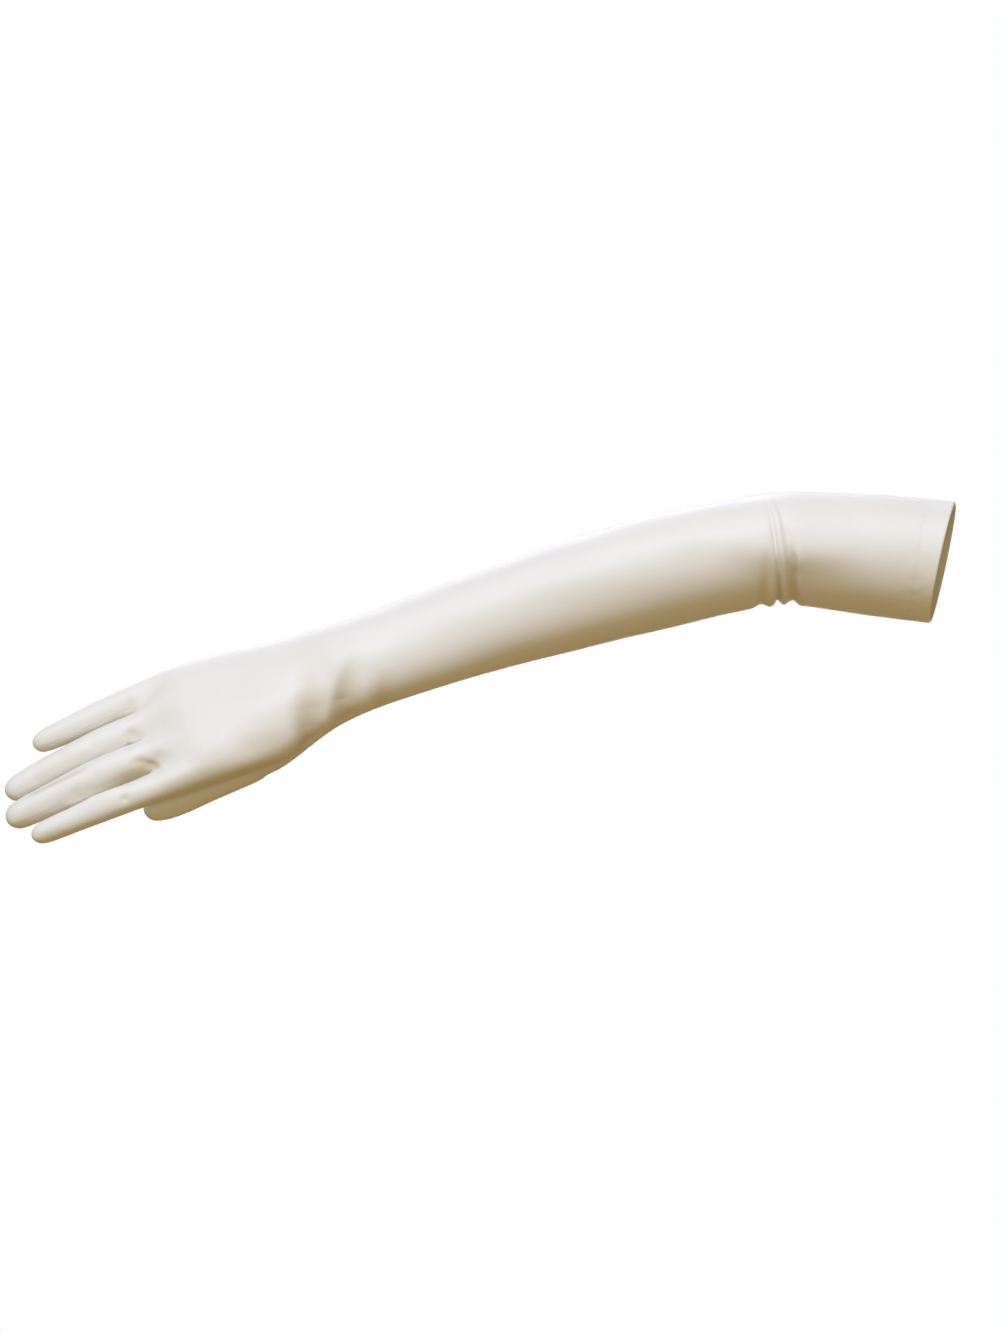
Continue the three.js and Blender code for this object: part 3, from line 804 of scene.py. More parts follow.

# Lines of painted shade, which darken the cloth's colour and leave its form as it is
PAINTED_SHADE_LINES = (
    # Along the thumb
    Fold(
        x=(-430.5, -421.3, -398, -382.4, -369, -356.2, -347.1),
        z=(-132.3, -128.2, -119.5, -114.7, -110.1, -106.1, -101.6),
        depth=(1.4, 2, 2.2, 2.4, 2.5, 2, 1),
        width=(2.2, 2.4, 2.4, 2.2, 1.7, 1.7, 2),
    ),
    # Above the thumb
    Fold(
        x=(-426.5, -415.7, -397.9, -386, -375.3),
        z=(-118.7, -119.8, -113.3, -109, -104.7),
        depth=(0, 1.4, 2.2, 1.3, 0),
        width=(3.5, 4.5, 4.5, 4.5, 4),
    ),
    # Under the tip of the index finger
    Fold(
        x=(-489.6, -485.1, -480.7, -475.3, -470.9),
        z=(-149.1, -147.7, -146.3, -144.4, -143),
        depth=(0, 1, 1.8, 1, 0),
        width=(1.5, 1.8, 1.8, 1.8, 1.5),
    ),
    # From the web, between the index and middle finger
    Fold(
        x=(-476.2, -468, -459.9, -451.8, -444.7, -438.2, -431.6, -426, -422.5),
        z=(-130.5, -126.9, -123.9, -120.7, -117.4, -114.2, -111.2, -109.8, -110.8),
        depth=(0, 1.2, 2.4, 3.6, 4.4, 4.8, 5.2, 4.8, 0.5),
        width=(2.4, 2.8, 3.2, 3.4, 3.4, 3.4, 3.4, 3, 2),
    ),
    # Painted shade along a fine seam line on the middle finger
    Fold(
        x=(-495.8, -489.2, -478.3, -467.4, -457.6),
        z=(-127.5, -124.3, -119.1, -113.9, -109.6),
        depth=(0, 3, 3.2, 2.8, 0),
        width=1,
    ),
    # Broad shade on the back of the hand
    Fold(
        x=(-419, -399.9, -378.2, -356.7, -336.3, -319.1, -310.5),
        z=(-94.7, -90.3, -85.5, -76.3, -65.6, -57, -52.7),
        depth=(0, 0.8, 1.3, 1.5, 1.8, 0.4, 0),
        width=(15, 18, 18, 17, 15, 12, 12),
    ),
)

# Small hollows where the cloth is drawn in between and along the fingers
Dimple = namedtuple("Dimple", "x z depth radius")
DIMPLES = (
    Dimple(-423.6, -105.5, 0.9, 4.5),
    Dimple(-418.6, -110.7, 0.3, 5),
    Dimple(-437.5, -93.3, 1.4, 3.4),
    Dimple(-439.0, -99.4, 1, 1.5),
    Dimple(-439.8, -77.7, 0.5, 4),
    Dimple(-458.4, -98.2, 0.5, 3),
    Dimple(-457.0, -114.7, 0.4, 3),
    Dimple(-440.5, -127.1, 0.9, 2.6),
    Dimple(-463.9, -106.3, 0.3, 3),
    Dimple(-467.9, -123.9, 0.35, 3),
    Dimple(-475.9, -104.1, 0.3, 3.4),
    Dimple(-489.0, -116.6, 0.3, 3.4),
    Dimple(-474.4, -132.4, 0.3, 3),
)

# How far out a normal leans before folds begin and before they are full. The round folds run
# on underneath and, shallower and askew, round the far side. The others fade at the outline.
WRAP_NONE = -0.3
WRAP_FULL = 0.4
WRAP_BELOW = 0.6
WRAP_FAR = 0.6
FAR_SHIFT = 0.1
SIDE_NONE = 0.05
SIDE_FULL = 0.5
SIDE_FAR = 0.6
SHADE_NONE = -0.5
SHADE_FULL = 0

# Kinds of seam, and how deep and wide each draws in the cloth
SIDE_SEAM, FOURCHETTE_SEAM, THUMB_SEAM, HEM_SEAM = range(4)
SEAM_DEPTHS = np.array([0.3, 0.1, 0.3, 0.03])
SEAM_WIDTHS = np.array([0.9, 0.8, 0.9, 0.9])
SAMPLES_PER_EDGE = 5

# An edge is uncut, with no seam, where the mean of its ends is over this.
UNCUT_FROM = 0.4

# A fold this deep has the full depth of painted shade.
DEEPEST = 5.2

# Ripples: short puckers beside the seams, and waves that are longer along the glove
RIPPLE_WAVES = 9
RIPPLE_SPREAD = (0.7, 1.5)
PUCKER_LENGTH = 7
PUCKER_SEED = 3
PUCKER_SHARE = 0.5
PUCKER_REACH = 4.5
WAVE_LENGTH = 26
WAVE_SEED = 5
WAVE_STRETCH = (0.5, 1, 1)


def smoothstep(value, low, high):
    share = np.clip((value - low) / (high - low), 0, 1)
    return share * share * (3 - 2 * share)


def ripples(coordinates, length, seed):
    """A gentle wavy field with waves about as long as given, between -1 and 1 or so"""
    random = np.random.default_rng(seed)
    field = np.zeros(len(coordinates))
    for _ in range(RIPPLE_WAVES):
        direction = unit(random.normal(size=coordinates.shape[1]))
        wave = length * random.uniform(*RIPPLE_SPREAD)
        phase = random.uniform(0, 2 * pi)
        field += np.sin(coordinates @ direction * (2 * pi / wave) + phase)
    return field / np.sqrt(RIPPLE_WAVES)


def fold_relief(folds, places, facing):
    """How far folds press in the cloth at each place"""
    relief = np.zeros(len(places))
    flat = places[:, [0, 2]]
    flat[:, 0] += FAR_SHIFT * np.maximum(places[:, 1], 0)
    for fold in folds:
        line = np.stack([fold.x, fold.z], axis=1)
        shape = np.stack(np.broadcast_arrays(fold.depth, fold.width), axis=1)
        nearest = np.full(len(places), np.inf)
        there = np.zeros((len(places), 2))
        for k, start in enumerate(line[:-1]):
            run = line[k + 1] - start
            share = np.clip((flat - start) @ run / (run @ run), 0, 1)[:, None]
            distance = np.linalg.norm(flat - start - share * run, axis=1)
            closer = distance < nearest
            nearest[closer] = distance[closer]
            there[closer] = (shape[k] + (shape[k + 1] - shape[k]) * share)[closer]
        depth, width = there.T
        relief += depth * np.exp(-((nearest / width) ** 2))
    return relief * facing


def dimple_relief(places, facing):
    relief = np.zeros(len(places))
    for dimple in DIMPLES:
        distance = np.hypot(places[:, 0] - dimple.x, places[:, 2] - dimple.z)
        relief += dimple.depth * np.exp(-((distance / dimple.radius) ** 2))
    return relief * facing


@lru_cache(maxsize=1)
def plain_surface():
    """The whole glove's outer skin, smooth, and the coarser one that its inner skin follows"""
    cage = glove_cage()
    coarse = Surface(
        np.array(cage.points, float),
        np.array(cage.faces),
        np.array(cage.panels),
        np.array(cage.under),
    )
    for _ in range(SMOOTH_STEPS - 1):
        coarse = smoothed(coarse)
    fine = smoothed(coarse)
    fine.points = settled(fine)
    return fine, coarse


@lru_cache(maxsize=1)
def seam_edges():
    """The kind of seam that each fine edge lies on, or -1"""
    fine, _ = plain_surface()
    low = np.full(len(fine.edges), HEM + 1)
    high = np.full(len(fine.edges), -1)
    panels = np.repeat(fine.panels, 4)
    np.minimum.at(low, fine.face_edges.ravel(), panels)
    np.maximum.at(high, fine.face_edges.ravel(), panels)
    kinds = np.full(len(fine.edges), -1)
    kinds[(low == BACK) & (high == PALM)] = SIDE_SEAM
    kinds[(low < FIRST_FOURCHETTE) & (high >= FIRST_FOURCHETTE) & (high < THUMB)] = FOURCHETTE_SEAM
    kinds[(low != high) & (high == THUMB)] = THUMB_SEAM
    kinds[(low != high) & (high == HEM)] = HEM_SEAM
    uncut = fine.points[fine.edges, UNCUT].mean(axis=1)
    kinds[(kinds == SIDE_SEAM) & (uncut > UNCUT_FROM)] = -1
    return kinds


def seam_reach(places):
    """How far each point lies from the nearest seam, and that seam's kind"""
    fine, _ = plain_surface()
    kinds = seam_edges()
    sewn = np.flatnonzero(kinds >= 0)
    tree = KDTree(len(sewn) * SAMPLES_PER_EDGE)
    for sample in range(SAMPLES_PER_EDGE):
        share = sample / SAMPLES_PER_EDGE
        start, end = places[fine.edges[sewn, 0]], places[fine.edges[sewn, 1]]
        for edge, place in zip(sewn, start + (end - start) * share):
            tree.insert(place, edge)
    tree.balance()
    found = [tree.find(place)[1:] for place in places]
    edges = np.array([edge for edge, _ in found])
    distances = np.array([distance for _, distance in found])
    return distances, kinds[edges]


@lru_cache(maxsize=1)
def dressed_surface(fold_share, ripple_height, seam_share):
    """The worn form: places, outward normals, then nearness to a seam, whose groove the satin darkens
    with painted shade, and depth of painted shade from the folds and shade lines, both from 0 to 1"""
    fine, _ = plain_surface()
    places = fine.points[:, PLACE]
    normals = point_normals(places, fine.faces)
    near = -normals[:, 1]
    wrap = smoothstep(near - WRAP_BELOW * normals[:, 2], WRAP_NONE, WRAP_FULL)
    wrap = WRAP_FAR + (1 - WRAP_FAR) * wrap
    side = smoothstep(near, SIDE_NONE, SIDE_FULL)
    both_sides = side + SIDE_FAR * smoothstep(-near, SIDE_NONE, SIDE_FULL)
    shaded = smoothstep(near, SHADE_NONE, SHADE_FULL)
    distance, kinds = seam_reach(places)
    groove = np.exp(-((distance / SEAM_WIDTHS[kinds]) ** 2))
    pucker = np.exp(-distance / PUCKER_REACH)
    relief = fold_relief(ROUND_FOLDS, places, wrap)
    relief += fold_relief(WRIST_FOLDS, places, both_sides)
    relief += fold_relief(NEAR_FOLDS, places, side)
    relief += dimple_relief(places, side)
    relief *= fold_share
    # Painted shade: deeper folds, and the lines of painted shade, darken the satin's colour
    hollow = np.clip((relief + fold_relief(PAINTED_SHADE_LINES, places, shaded)) / DEEPEST, 0, 1)
    relief += SEAM_DEPTHS[kinds] * groove * seam_share
    puckers = ripples(places, PUCKER_LENGTH, PUCKER_SEED)
    relief += puckers * pucker * ripple_height * PUCKER_SHARE
    relief += ripples(places * WAVE_STRETCH, WAVE_LENGTH, WAVE_SEED) * ripple_height
    return places - normals * relief[:, None], normals, groove, hollow


def worn_surface(cloth):
    """The worn form with the folds, ripples and seams of the settings"""
    return dressed_surface(cloth.fold_share, cloth.ripple_height / MM, cloth.seam_share)


def face_corners(blocks):
    """The corners of every face in a row, and how many each face has"""
    corners = np.concatenate([block.ravel() for block in blocks])
    sizes = np.concatenate([np.full(len(block), block.shape[1]) for block in blocks])
    return corners, sizes


def new_mesh(name, places, blocks):
    """A mesh from places in millimetres and blocks of faces with equal numbers of corners"""
    corners, sizes = face_corners(blocks)
    mesh = bpy.data.meshes.new(name)
    mesh.vertices.add(len(places))
    mesh.vertices.foreach_set("co", (places * MM).astype(np.float32).ravel())
    mesh.loops.add(len(corners))
    mesh.loops.foreach_set("vertex_index", corners.astype(np.int32))
    mesh.polygons.add(len(sizes))
    starts = np.concatenate([[0], np.cumsum(sizes)[:-1]])
    mesh.polygons.foreach_set("loop_start", starts.astype(np.int32))
    mesh.update(calc_edges=True)
    return mesh


def set_attribute(mesh, name, kind, domain, values):
    """Writes one value for each point, edge or face of a mesh"""
    attribute = mesh.attributes.new(name, kind, domain)
    key = "vector" if kind == "FLOAT_VECTOR" else "value"
    attribute.data.foreach_set(key, values.ravel())


def add_object(name, data):
    """A new object in the scene, for a mesh, a light or a camera"""
    piece = bpy.data.objects.new(name, data)
    bpy.context.scene.collection.objects.link(piece)
    return piece


def add_piece(name, mesh, material):
    mesh.materials.clear()
    mesh.materials.append(material)
    return add_object(name, mesh)


def rim_edges(coarse, panel):
    """The edges round one panel, as points: starts, ends and the fine points between them,
    and whether each lies on the glove's open edge"""
    chosen = coarse.panels == panel
    faces = coarse.faces[chosen]
    edge_ids = coarse.face_edges[chosen].ravel()
    uses = np.bincount(edge_ids, minlength=len(coarse.edges))
    on_rim = uses[edge_ids] == 1
    starts = faces.ravel()[on_rim]
    ends = np.roll(faces, -1, axis=1).ravel()[on_rim]
    middles = len(coarse.points) + edge_ids[on_rim]
    return np.stack([starts, ends, middles], axis=1), coarse.uses[edge_ids[on_rim]] == 1


def rounded_edge(rim, places, normals, wall, first, outside, inside):
    """The turned edge of a hem: new places, the point that each belongs to, and its faces"""
    starts, ends, middles = rim.T
    points = np.unique(rim[:, :2])
    forward = unit(places[ends] - places[starts])
    away = np.cross(forward, normals[middles])
    targets = np.searchsorted(points, rim[:, :2]).ravel()
    outward = unit(summed(targets, np.repeat(away, 2, axis=0), len(points)))
    centres = places[points] - normals[points] * wall / 2
    turns = np.arange(1, EDGE_STEPS) * pi / EDGE_STEPS
    rows = [
        centres + (normals[points] * cos(turn) + outward * sin(turn)) * wall / 2 for turn in turns
    ]

    def turned(row, chosen):
        if row == EDGE_STEPS:
            return inside(chosen)
        return first + (row - 1) * len(points) + np.searchsorted(points, chosen)

    corners = [outside(ends), outside(middles), outside(starts), turned(1, starts), turned(1, ends)]
    blocks = [np.stack(corners, axis=1)]
    for row in range(1, EDGE_STEPS):
        here = [turned(row, ends), turned(row, starts)]
        following = [turned(row + 1, starts), turned(row + 1, ends)]
        blocks.append(np.stack(here + following, axis=1))
    return np.concatenate(rows), np.tile(points, len(rows)), blocks


def sharpen_rims(mesh, rims, sizes):
    """Shades the rims along the seams flat, with a sharp edge all round each face"""
    edge_ids = np.empty(len(mesh.loops), np.int32)
    mesh.loops.foreach_get("edge_index", edge_ids)
    sharp = np.zeros(len(mesh.edges), bool)
    sharp[edge_ids[np.repeat(rims, sizes)]] = True
    set_attribute(mesh, "sharp_face", "BOOLEAN", "FACE", rims)
    set_attribute(mesh, "sharp_edge", "BOOLEAN", "EDGE", sharp)


def lay_on_cloth(mesh, corner_points, under):
    """Gives each corner of a face its place on the flat cloth, along and across, in metres"""
    fine, _ = plain_surface()
    on_cloth = fine.points[corner_points]
    across = np.where(under, on_cloth[:, PALM_ACROSS], on_cloth[:, BACK_ACROSS])
    spread = np.stack([on_cloth[:, ALONG], across], axis=1) * MM
    mesh.uv_layers.new(name="cloth").data.foreach_set("uv", spread.astype(np.float32).ravel())


def cloth_piece(name, panel, wall, cloth, material):
    """One panel of cloth as a closed wall. The outer skin is fine and the inner one coarser.
    A rim joins them along every seam, and a rounded fold round the cuff's edge."""
    fine, coarse = plain_surface()
    places, normals, groove, hollow = worn_surface(cloth)
    outer = fine.faces[fine.panels == panel]
    inner = coarse.faces[coarse.panels == panel]
    outer_points = np.unique(outer)
    inner_points = np.unique(inner)

    def outside(points):
        return np.searchsorted(outer_points, points)

    def inside(points):
        return np.searchsorted(inner_points, points) + len(outer_points)

    rim, free = rim_edges(coarse, panel)
    starts, ends, middles = rim[~free].T
    sewn = [outside(ends), outside(middles), outside(starts), inside(starts), inside(ends)]
    blocks = [outside(outer), inside(inner[:, ::-1]), np.stack(sewn, axis=1)]
    skins = len(outer) + len(inner)
    new_places = [places[outer_points], places[inner_points] - normals[inner_points] * wall]
    sources = [outer_points, inner_points]
    if free.any():
        first = len(outer_points) + len(inner_points)
        edge_places, edge_points, edge_blocks = rounded_edge(
            rim[free], places, normals, wall, first, outside, inside
        )
        new_places.append(edge_places)
        sources.append(edge_points)
        blocks += edge_blocks
    sources = np.concatenate(sources)
    corners, sizes = face_corners(blocks)
    mesh = new_mesh(name, np.concatenate(new_places), blocks)
    rims = np.zeros(len(sizes), bool)
    rims[skins:skins + len(starts)] = True
    sharpen_rims(mesh, rims, sizes)
    # Attributes that the satin reads to paint shade in the seams' grooves and in the folds
    for key, values in (("near_seam", groove), ("hollow", hollow)):
        set_attribute(mesh, key, "FLOAT", "POINT", values[sources].astype(np.float32))
    under = np.full(len(sizes), panel == PALM)
    under[:len(outer)] = fine.under[fine.panels == panel]
    under[len(outer):skins] = coarse.under[coarse.panels == panel]
    lay_on_cloth(mesh, sources[corners], np.repeat(under, sizes))
    return add_piece(name, mesh, material)


def seam_path(name, kind, cloth):
    """The lines of one kind of seam, as points and edges that know the cloth's outward direction"""
    fine, _ = plain_surface()
    places, normals, _, _ = worn_surface(cloth)
    chosen = fine.edges[seam_edges() == kind]
    points, edges = np.unique(chosen, return_inverse=True)
    mesh = bpy.data.meshes.new(name)
    mesh.from_pydata((places[points] * MM).tolist(), edges.reshape(-1, 2).tolist(), [])
    outward = normals[points].astype(np.float32)
    set_attribute(mesh, "cloth_normal", "FLOAT_VECTOR", "POINT", outward)
    return add_object(name, mesh)


def named_socket(sockets, name):
    """The socket in use that has this name"""
    return next(socket for socket in sockets if socket.name == name and socket.enabled)


def fill_input(tree, socket, value):
    """Gives an input its value, or joins it to an output given as (node, output name)"""
    if isinstance(value, tuple) and isinstance(value[0], bpy.types.Node):
        tree.links.new(named_socket(value[0].outputs, value[1]), socket)
    else:
        socket.default_value = value


def add_node(tree, kind, settings=None, **inputs):
    """A node with its settings and its inputs"""
    node = tree.nodes.new(kind)
    for key, value in (settings or {}).items():
        setattr(node, key, value)
    for key, value in inputs.items():
        fill_input(tree, named_socket(node.inputs, key.replace("_", " ")), value)
    return node


def add_math(tree, operation, one, other):
    """A sum or product of two values, as (node, output name)"""
    node = add_node(tree, "ShaderNodeMath", {"operation": operation})
    fill_input(tree, node.inputs[0], one)
    fill_input(tree, node.inputs[1], other)
    return node, "Value"


def add_vector(tree, **parts):
    """A vector from the parts that aren't zero, as (node, output name)"""
    return add_node(tree, "ShaderNodeCombineXYZ", **parts), "Vector"


def stitch_tree():
    """Lays short raised stitches along the lines of a mesh"""
    tree = bpy.data.node_groups.new("Row of stitches", "GeometryNodeTree")
    inputs = {
        "Geometry": "NodeSocketGeometry",
        "Stitch Length": "NodeSocketFloat",
        "Pitch": "NodeSocketFloat",
        "Thread Radius": "NodeSocketFloat",
        "Rise": "NodeSocketFloat",
        "Turn": "NodeSocketFloat",
        "Seed": "NodeSocketInt",
        "Thread": "NodeSocketMaterial",
    }
    for name, kind in inputs.items():
        tree.interface.new_socket(name, in_out="INPUT", socket_type=kind)
    tree.interface.new_socket("Geometry", in_out="OUTPUT", socket_type="NodeSocketGeometry")
    given = tree.nodes.new("NodeGroupInput")

    lines = add_node(tree, "GeometryNodeMeshToCurve", Mesh=(given, "Geometry"))
    spaced = add_node(
        tree, "GeometryNodeResampleCurve", {"mode": "LENGTH"},
        Curve=(lines, "Curve"), Length=(given, "Pitch"),
    )
    outward = add_node(
        tree, "GeometryNodeInputNamedAttribute", {"data_type": "FLOAT_VECTOR"}, Name="cloth_normal"
    )
    tangent = tree.nodes.new("GeometryNodeInputTangent")
    facing = add_node(
        tree, "FunctionNodeAxesToRotation", {"primary_axis": "Z", "secondary_axis": "X"},
        Primary_Axis=(outward, "Attribute"), Secondary_Axis=(tangent, "Tangent"),
    )
    wander = add_node(
        tree, "FunctionNodeRandomValue", {"data_type": "FLOAT"},
        Min=-STITCH_WANDER, Max=STITCH_WANDER, Seed=(given, "Seed"),
    )
    turn = add_math(tree, "ADD", (given, "Turn"), (wander, "Value"))
    about = add_node(tree, "FunctionNodeEulerToRotation", Euler=add_vector(tree, Z=turn))
    placed = add_node(
        tree, "FunctionNodeRotateRotation", {"rotation_space": "LOCAL"},
        Rotation=(facing, "Rotation"), Rotate_By=(about, "Rotation"),
    )

    reach = add_math(tree, "MULTIPLY", (given, "Stitch Length"), 0.5)
    back_reach = add_math(tree, "MULTIPLY", (given, "Stitch Length"), -0.5)
    sunk = add_math(tree, "MULTIPLY", (given, "Thread Radius"), -STITCH_SINK)
    arch = add_node(
        tree, "GeometryNodeCurveQuadraticBezier", Resolution=STITCH_STEPS,
        Start=add_vector(tree, X=back_reach, Z=sunk),
        Middle=add_vector(tree, Z=(given, "Rise")),
        End=add_vector(tree, X=reach, Z=sunk),
    )
    round_thread = add_node(
        tree, "GeometryNodeCurvePrimitiveCircle",
        Resolution=STITCH_SIDES, Radius=(given, "Thread Radius"),
    )
    stitch = add_node(
        tree, "GeometryNodeCurveToMesh",
        Curve=(arch, "Curve"), Profile_Curve=(round_thread, "Curve"), Fill_Caps=True,
    )
    row = add_node(
        tree, "GeometryNodeInstanceOnPoints",
        Points=(spaced, "Curve"), Instance=(stitch, "Mesh"), Rotation=(placed, "Rotation"),
    )
    real = add_node(tree, "GeometryNodeRealizeInstances", Geometry=(row, "Instances"))
    dressed = add_node(
        tree, "GeometryNodeSetMaterial", Geometry=(real, "Geometry"), Material=(given, "Thread")
    )
    add_node(tree, "NodeGroupOutput", Geometry=(dressed, "Geometry"))
    return tree


def sew(name, kind, cloth, values):
    """A row of stitches along the seams of a kind, made a plain mesh"""
    path = seam_path(name + "_path", kind, cloth)
    tree = bpy.data.node_groups.get("Row of stitches") or stitch_tree()
    modifier = path.modifiers.new("Stitches", "NODES")
    modifier.node_group = tree
    for item in tree.interface.items_tree:
        if item.name in values:
            modifier[item.identifier] = values[item.name]
    evaluated = path.evaluated_get(bpy.context.evaluated_depsgraph_get())
    mesh = bpy.data.meshes.new_from_object(evaluated)
    bpy.data.objects.remove(path)
    if not mesh.polygons:
        raise RuntimeError(name + " has no stitches")
    mesh.name = name
    mesh.shade_smooth()
    return add_piece(name, mesh, values["Thread"])


def new_material(name, colour):
    """A material with an empty node tree, and its plain colour for the solid view"""
    material = bpy.data.materials.new(name)
    material.use_nodes = True
    material.node_tree.nodes.clear()
    material.diffuse_color = (*colour, 1)
    return material, material.node_tree


def shaded_colour(tree, colour, share):
    """A colour made darker by a share, as (node, output name)"""
    node = add_node(tree, "ShaderNodeVectorMath", {"operation": "SCALE"}, Vector=colour, Scale=share)
    return node, "Vector"


def satin_material(name, look, colour):
    """Stretch satin: floats of thread along the glove, soft sheen and faint slubs, with painted shade
    darkening its folds and seam grooves
    """
    material, tree = new_material(name, colour)
    spread = add_node(tree, "ShaderNodeUVMap", {"uv_map": "cloth"})
    space = tree.nodes.new("ShaderNodeTexCoord")

    cloudy = add_node(
        tree, "ShaderNodeTexNoise", Vector=(space, "Object"), Scale=38.0, Detail=3.0, Roughness=0.55
    )
    shade = add_node(tree, "ShaderNodeMapRange", Value=(cloudy, "Fac"), To_Min=0.955, To_Max=1.0)
    # Painted shade: the colour is a little darker in the groove along each seam
    seam = add_node(tree, "ShaderNodeAttribute", {"attribute_name": "near_seam"})
    drawn = add_node(tree, "ShaderNodeMapRange", Value=(seam, "Fac"), To_Min=1.0, To_Max=0.975)
    darker = add_math(tree, "MULTIPLY", (shade, "Result"), (drawn, "Result"))
    # Painted shade: the colour turns darker and warmer with the depth of a fold
    depth = add_node(tree, "ShaderNodeAttribute", {"attribute_name": "hollow"})
    painted_shade_colour = [part * share for part, share in zip(colour, PAINTED_SHADE_TINT)]
    with_painted_shade = add_node(
        tree, "ShaderNodeMix", {"data_type": "RGBA"},
        Factor=(depth, "Fac"), A=(*colour, 1), B=(*painted_shade_colour, 1),
    )

    weave = add_node(
        tree, "ShaderNodeTexBrick", {"offset": FLOAT_OFFSET, "offset_frequency": 2},
        Vector=(spread, "UV"), Scale=1.0, Mortar_Size=look.thread_width * FLOAT_GAP,
        Mortar_Smooth=1.0, Brick_Width=look.float_length, Row_Height=look.thread_width,
    )
    slubs = add_node(
        tree, "ShaderNodeTexNoise", Vector=(space, "Object"), Scale=900.0, Detail=4.0, Roughness=0.6
    )
    cross = add_node(
        tree, "ShaderNodeBump", {"invert": True},
        Strength=look.weave_strength, Distance=WEAVE_RELIEF, Height=(weave, "Fac"),
    )
    grain = add_node(
        tree, "ShaderNodeBump", Strength=look.weave_strength, Distance=SLUB_RELIEF,
        Height=(slubs, "Fac"), Normal=(cross, "Normal"),
    )
    gloss = add_node(
        tree, "ShaderNodeMapRange", Value=(slubs, "Fac"),
        To_Min=look.roughness - GLOSS_RANGE, To_Max=look.roughness + GLOSS_RANGE,
    )
    along = add_node(tree, "ShaderNodeTangent", {"direction_type": "UV_MAP", "uv_map": "cloth"})
    shader = add_node(
        tree, "ShaderNodeBsdfPrincipled",
        Base_Color=shaded_colour(tree, (with_painted_shade, "Result"), darker),
        Roughness=(gloss, "Result"), Normal=(grain, "Normal"), Tangent=(along, "Tangent"),
        Anisotropic=0.35, Sheen_Weight=look.sheen, Sheen_Roughness=0.4,
        Sheen_Tint=(1, 0.985, 0.96, 1), Specular_IOR_Level=0.4,
    )
    add_node(tree, "ShaderNodeOutputMaterial", Surface=(shader, "BSDF"))
    return material


def thread_material(name, colour):
    """Sewing thread, a little glossier than the cloth, with a fine twist"""
    material, tree = new_material(name, colour)
    space = tree.nodes.new("ShaderNodeTexCoord")
    twist = add_node(
        tree, "ShaderNodeTexWave", {"bands_direction": "DIAGONAL"},
        Vector=(space, "Object"), Scale=1400.0, Distortion=1.5, Detail=1.0,
    )
    bump = add_node(
        tree, "ShaderNodeBump", Strength=0.5, Distance=THREAD_RELIEF, Height=(twist, "Fac")
    )
    shade = add_node(tree, "ShaderNodeMapRange", Value=(twist, "Fac"), To_Min=0.86, To_Max=1.0)
    shader = add_node(
        tree, "ShaderNodeBsdfPrincipled", Base_Color=shaded_colour(tree, colour, (shade, "Result")),
        Roughness=0.38, Normal=(bump, "Normal"), Sheen_Weight=0.1,
    )
    add_node(tree, "ShaderNodeOutputMaterial", Surface=(shader, "BSDF"))
    return material


def plain_material(name, colour, roughness):
    """A pale matt paint for the floor, with a faint mottle"""
    material, tree = new_material(name, colour)
    space = tree.nodes.new("ShaderNodeTexCoord")
    mottle = add_node(tree, "ShaderNodeTexNoise", Vector=(space, "Object"), Scale=1.2, Detail=2.0)
    shade = add_node(tree, "ShaderNodeMapRange", Value=(mottle, "Fac"), To_Min=0.98, To_Max=1.0)
    tint = shaded_colour(tree, colour, (shade, "Result"))
    shader = add_node(tree, "ShaderNodeBsdfPrincipled", Base_Color=tint, Roughness=roughness)
    add_node(tree, "ShaderNodeOutputMaterial", Surface=(shader, "BSDF"))
    return material


def shared_material(name, make, *values):
    return bpy.data.materials.get(name) or make(name, *values)


def carry(piece, slot, *nodes):
    """The piece stands for some solids, which it hides, and moves with the glove. The slot is not
    used.
    """
    if nodes:
        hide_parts(*nodes)
    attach(piece, "root")


def colour_property(name, description, default):
    return bpy.props.FloatVectorProperty(
        name=name, description=description, default=default, size=3, min=0, max=1, subtype="COLOR"
    )


def length_property(name, description, default, **limits):
    return bpy.props.FloatProperty(
        name=name, description=description, default=default, precision=5, unit="LENGTH", **limits
    )


def share_property(name, description, default, most=1.0):
    return bpy.props.FloatProperty(
        name=name, description=description, default=default, min=0, max=most, subtype="FACTOR"
    )


def strength_property(name, description, default):
    return bpy.props.FloatProperty(name=name, description=description, default=default, min=0)


class GloveCloth(bpy.types.PropertyGroup):
    """The satin, its folds and its hem"""

    satin_colour: colour_property("Satin colour", "Colour of the ivory satin", (0.84, 0.82, 0.79))
    hem_colour: colour_property("Hem colour", "Colour of the hem", (0.85, 0.835, 0.81))
    wall: length_property("Wall", "Thickness of the cloth", 0.0012, min=0.0003)
    hem_wall: length_property("Hem wall", "Thickness of the doubled hem", 0.0017, min=0.0003)
    fold_share: share_property("Folds", "Depth of the elbow and wrist folds", 1.0, 2.0)
    seam_share: share_property("Seam draw", "How far the seams draw in the cloth", 1.0, 2.0)
    ripple_height: length_property("Ripples", "Height of the gentle ripples", 0.00018, min=0)
    float_length: length_property("Float length", "Length of the weave's floats", 0.0012, min=0.0001)
    thread_width: length_property("Thread width", "Width of the weave's threads", 0.00025, min=0.00005)
    weave_strength: share_property("Weave relief", "Strength of the weave's relief", 0.35)
    roughness: share_property("Roughness", "Roughness of the satin", 0.46)
    sheen: share_property("Sheen", "Soft sheen at the edges", 0.25)


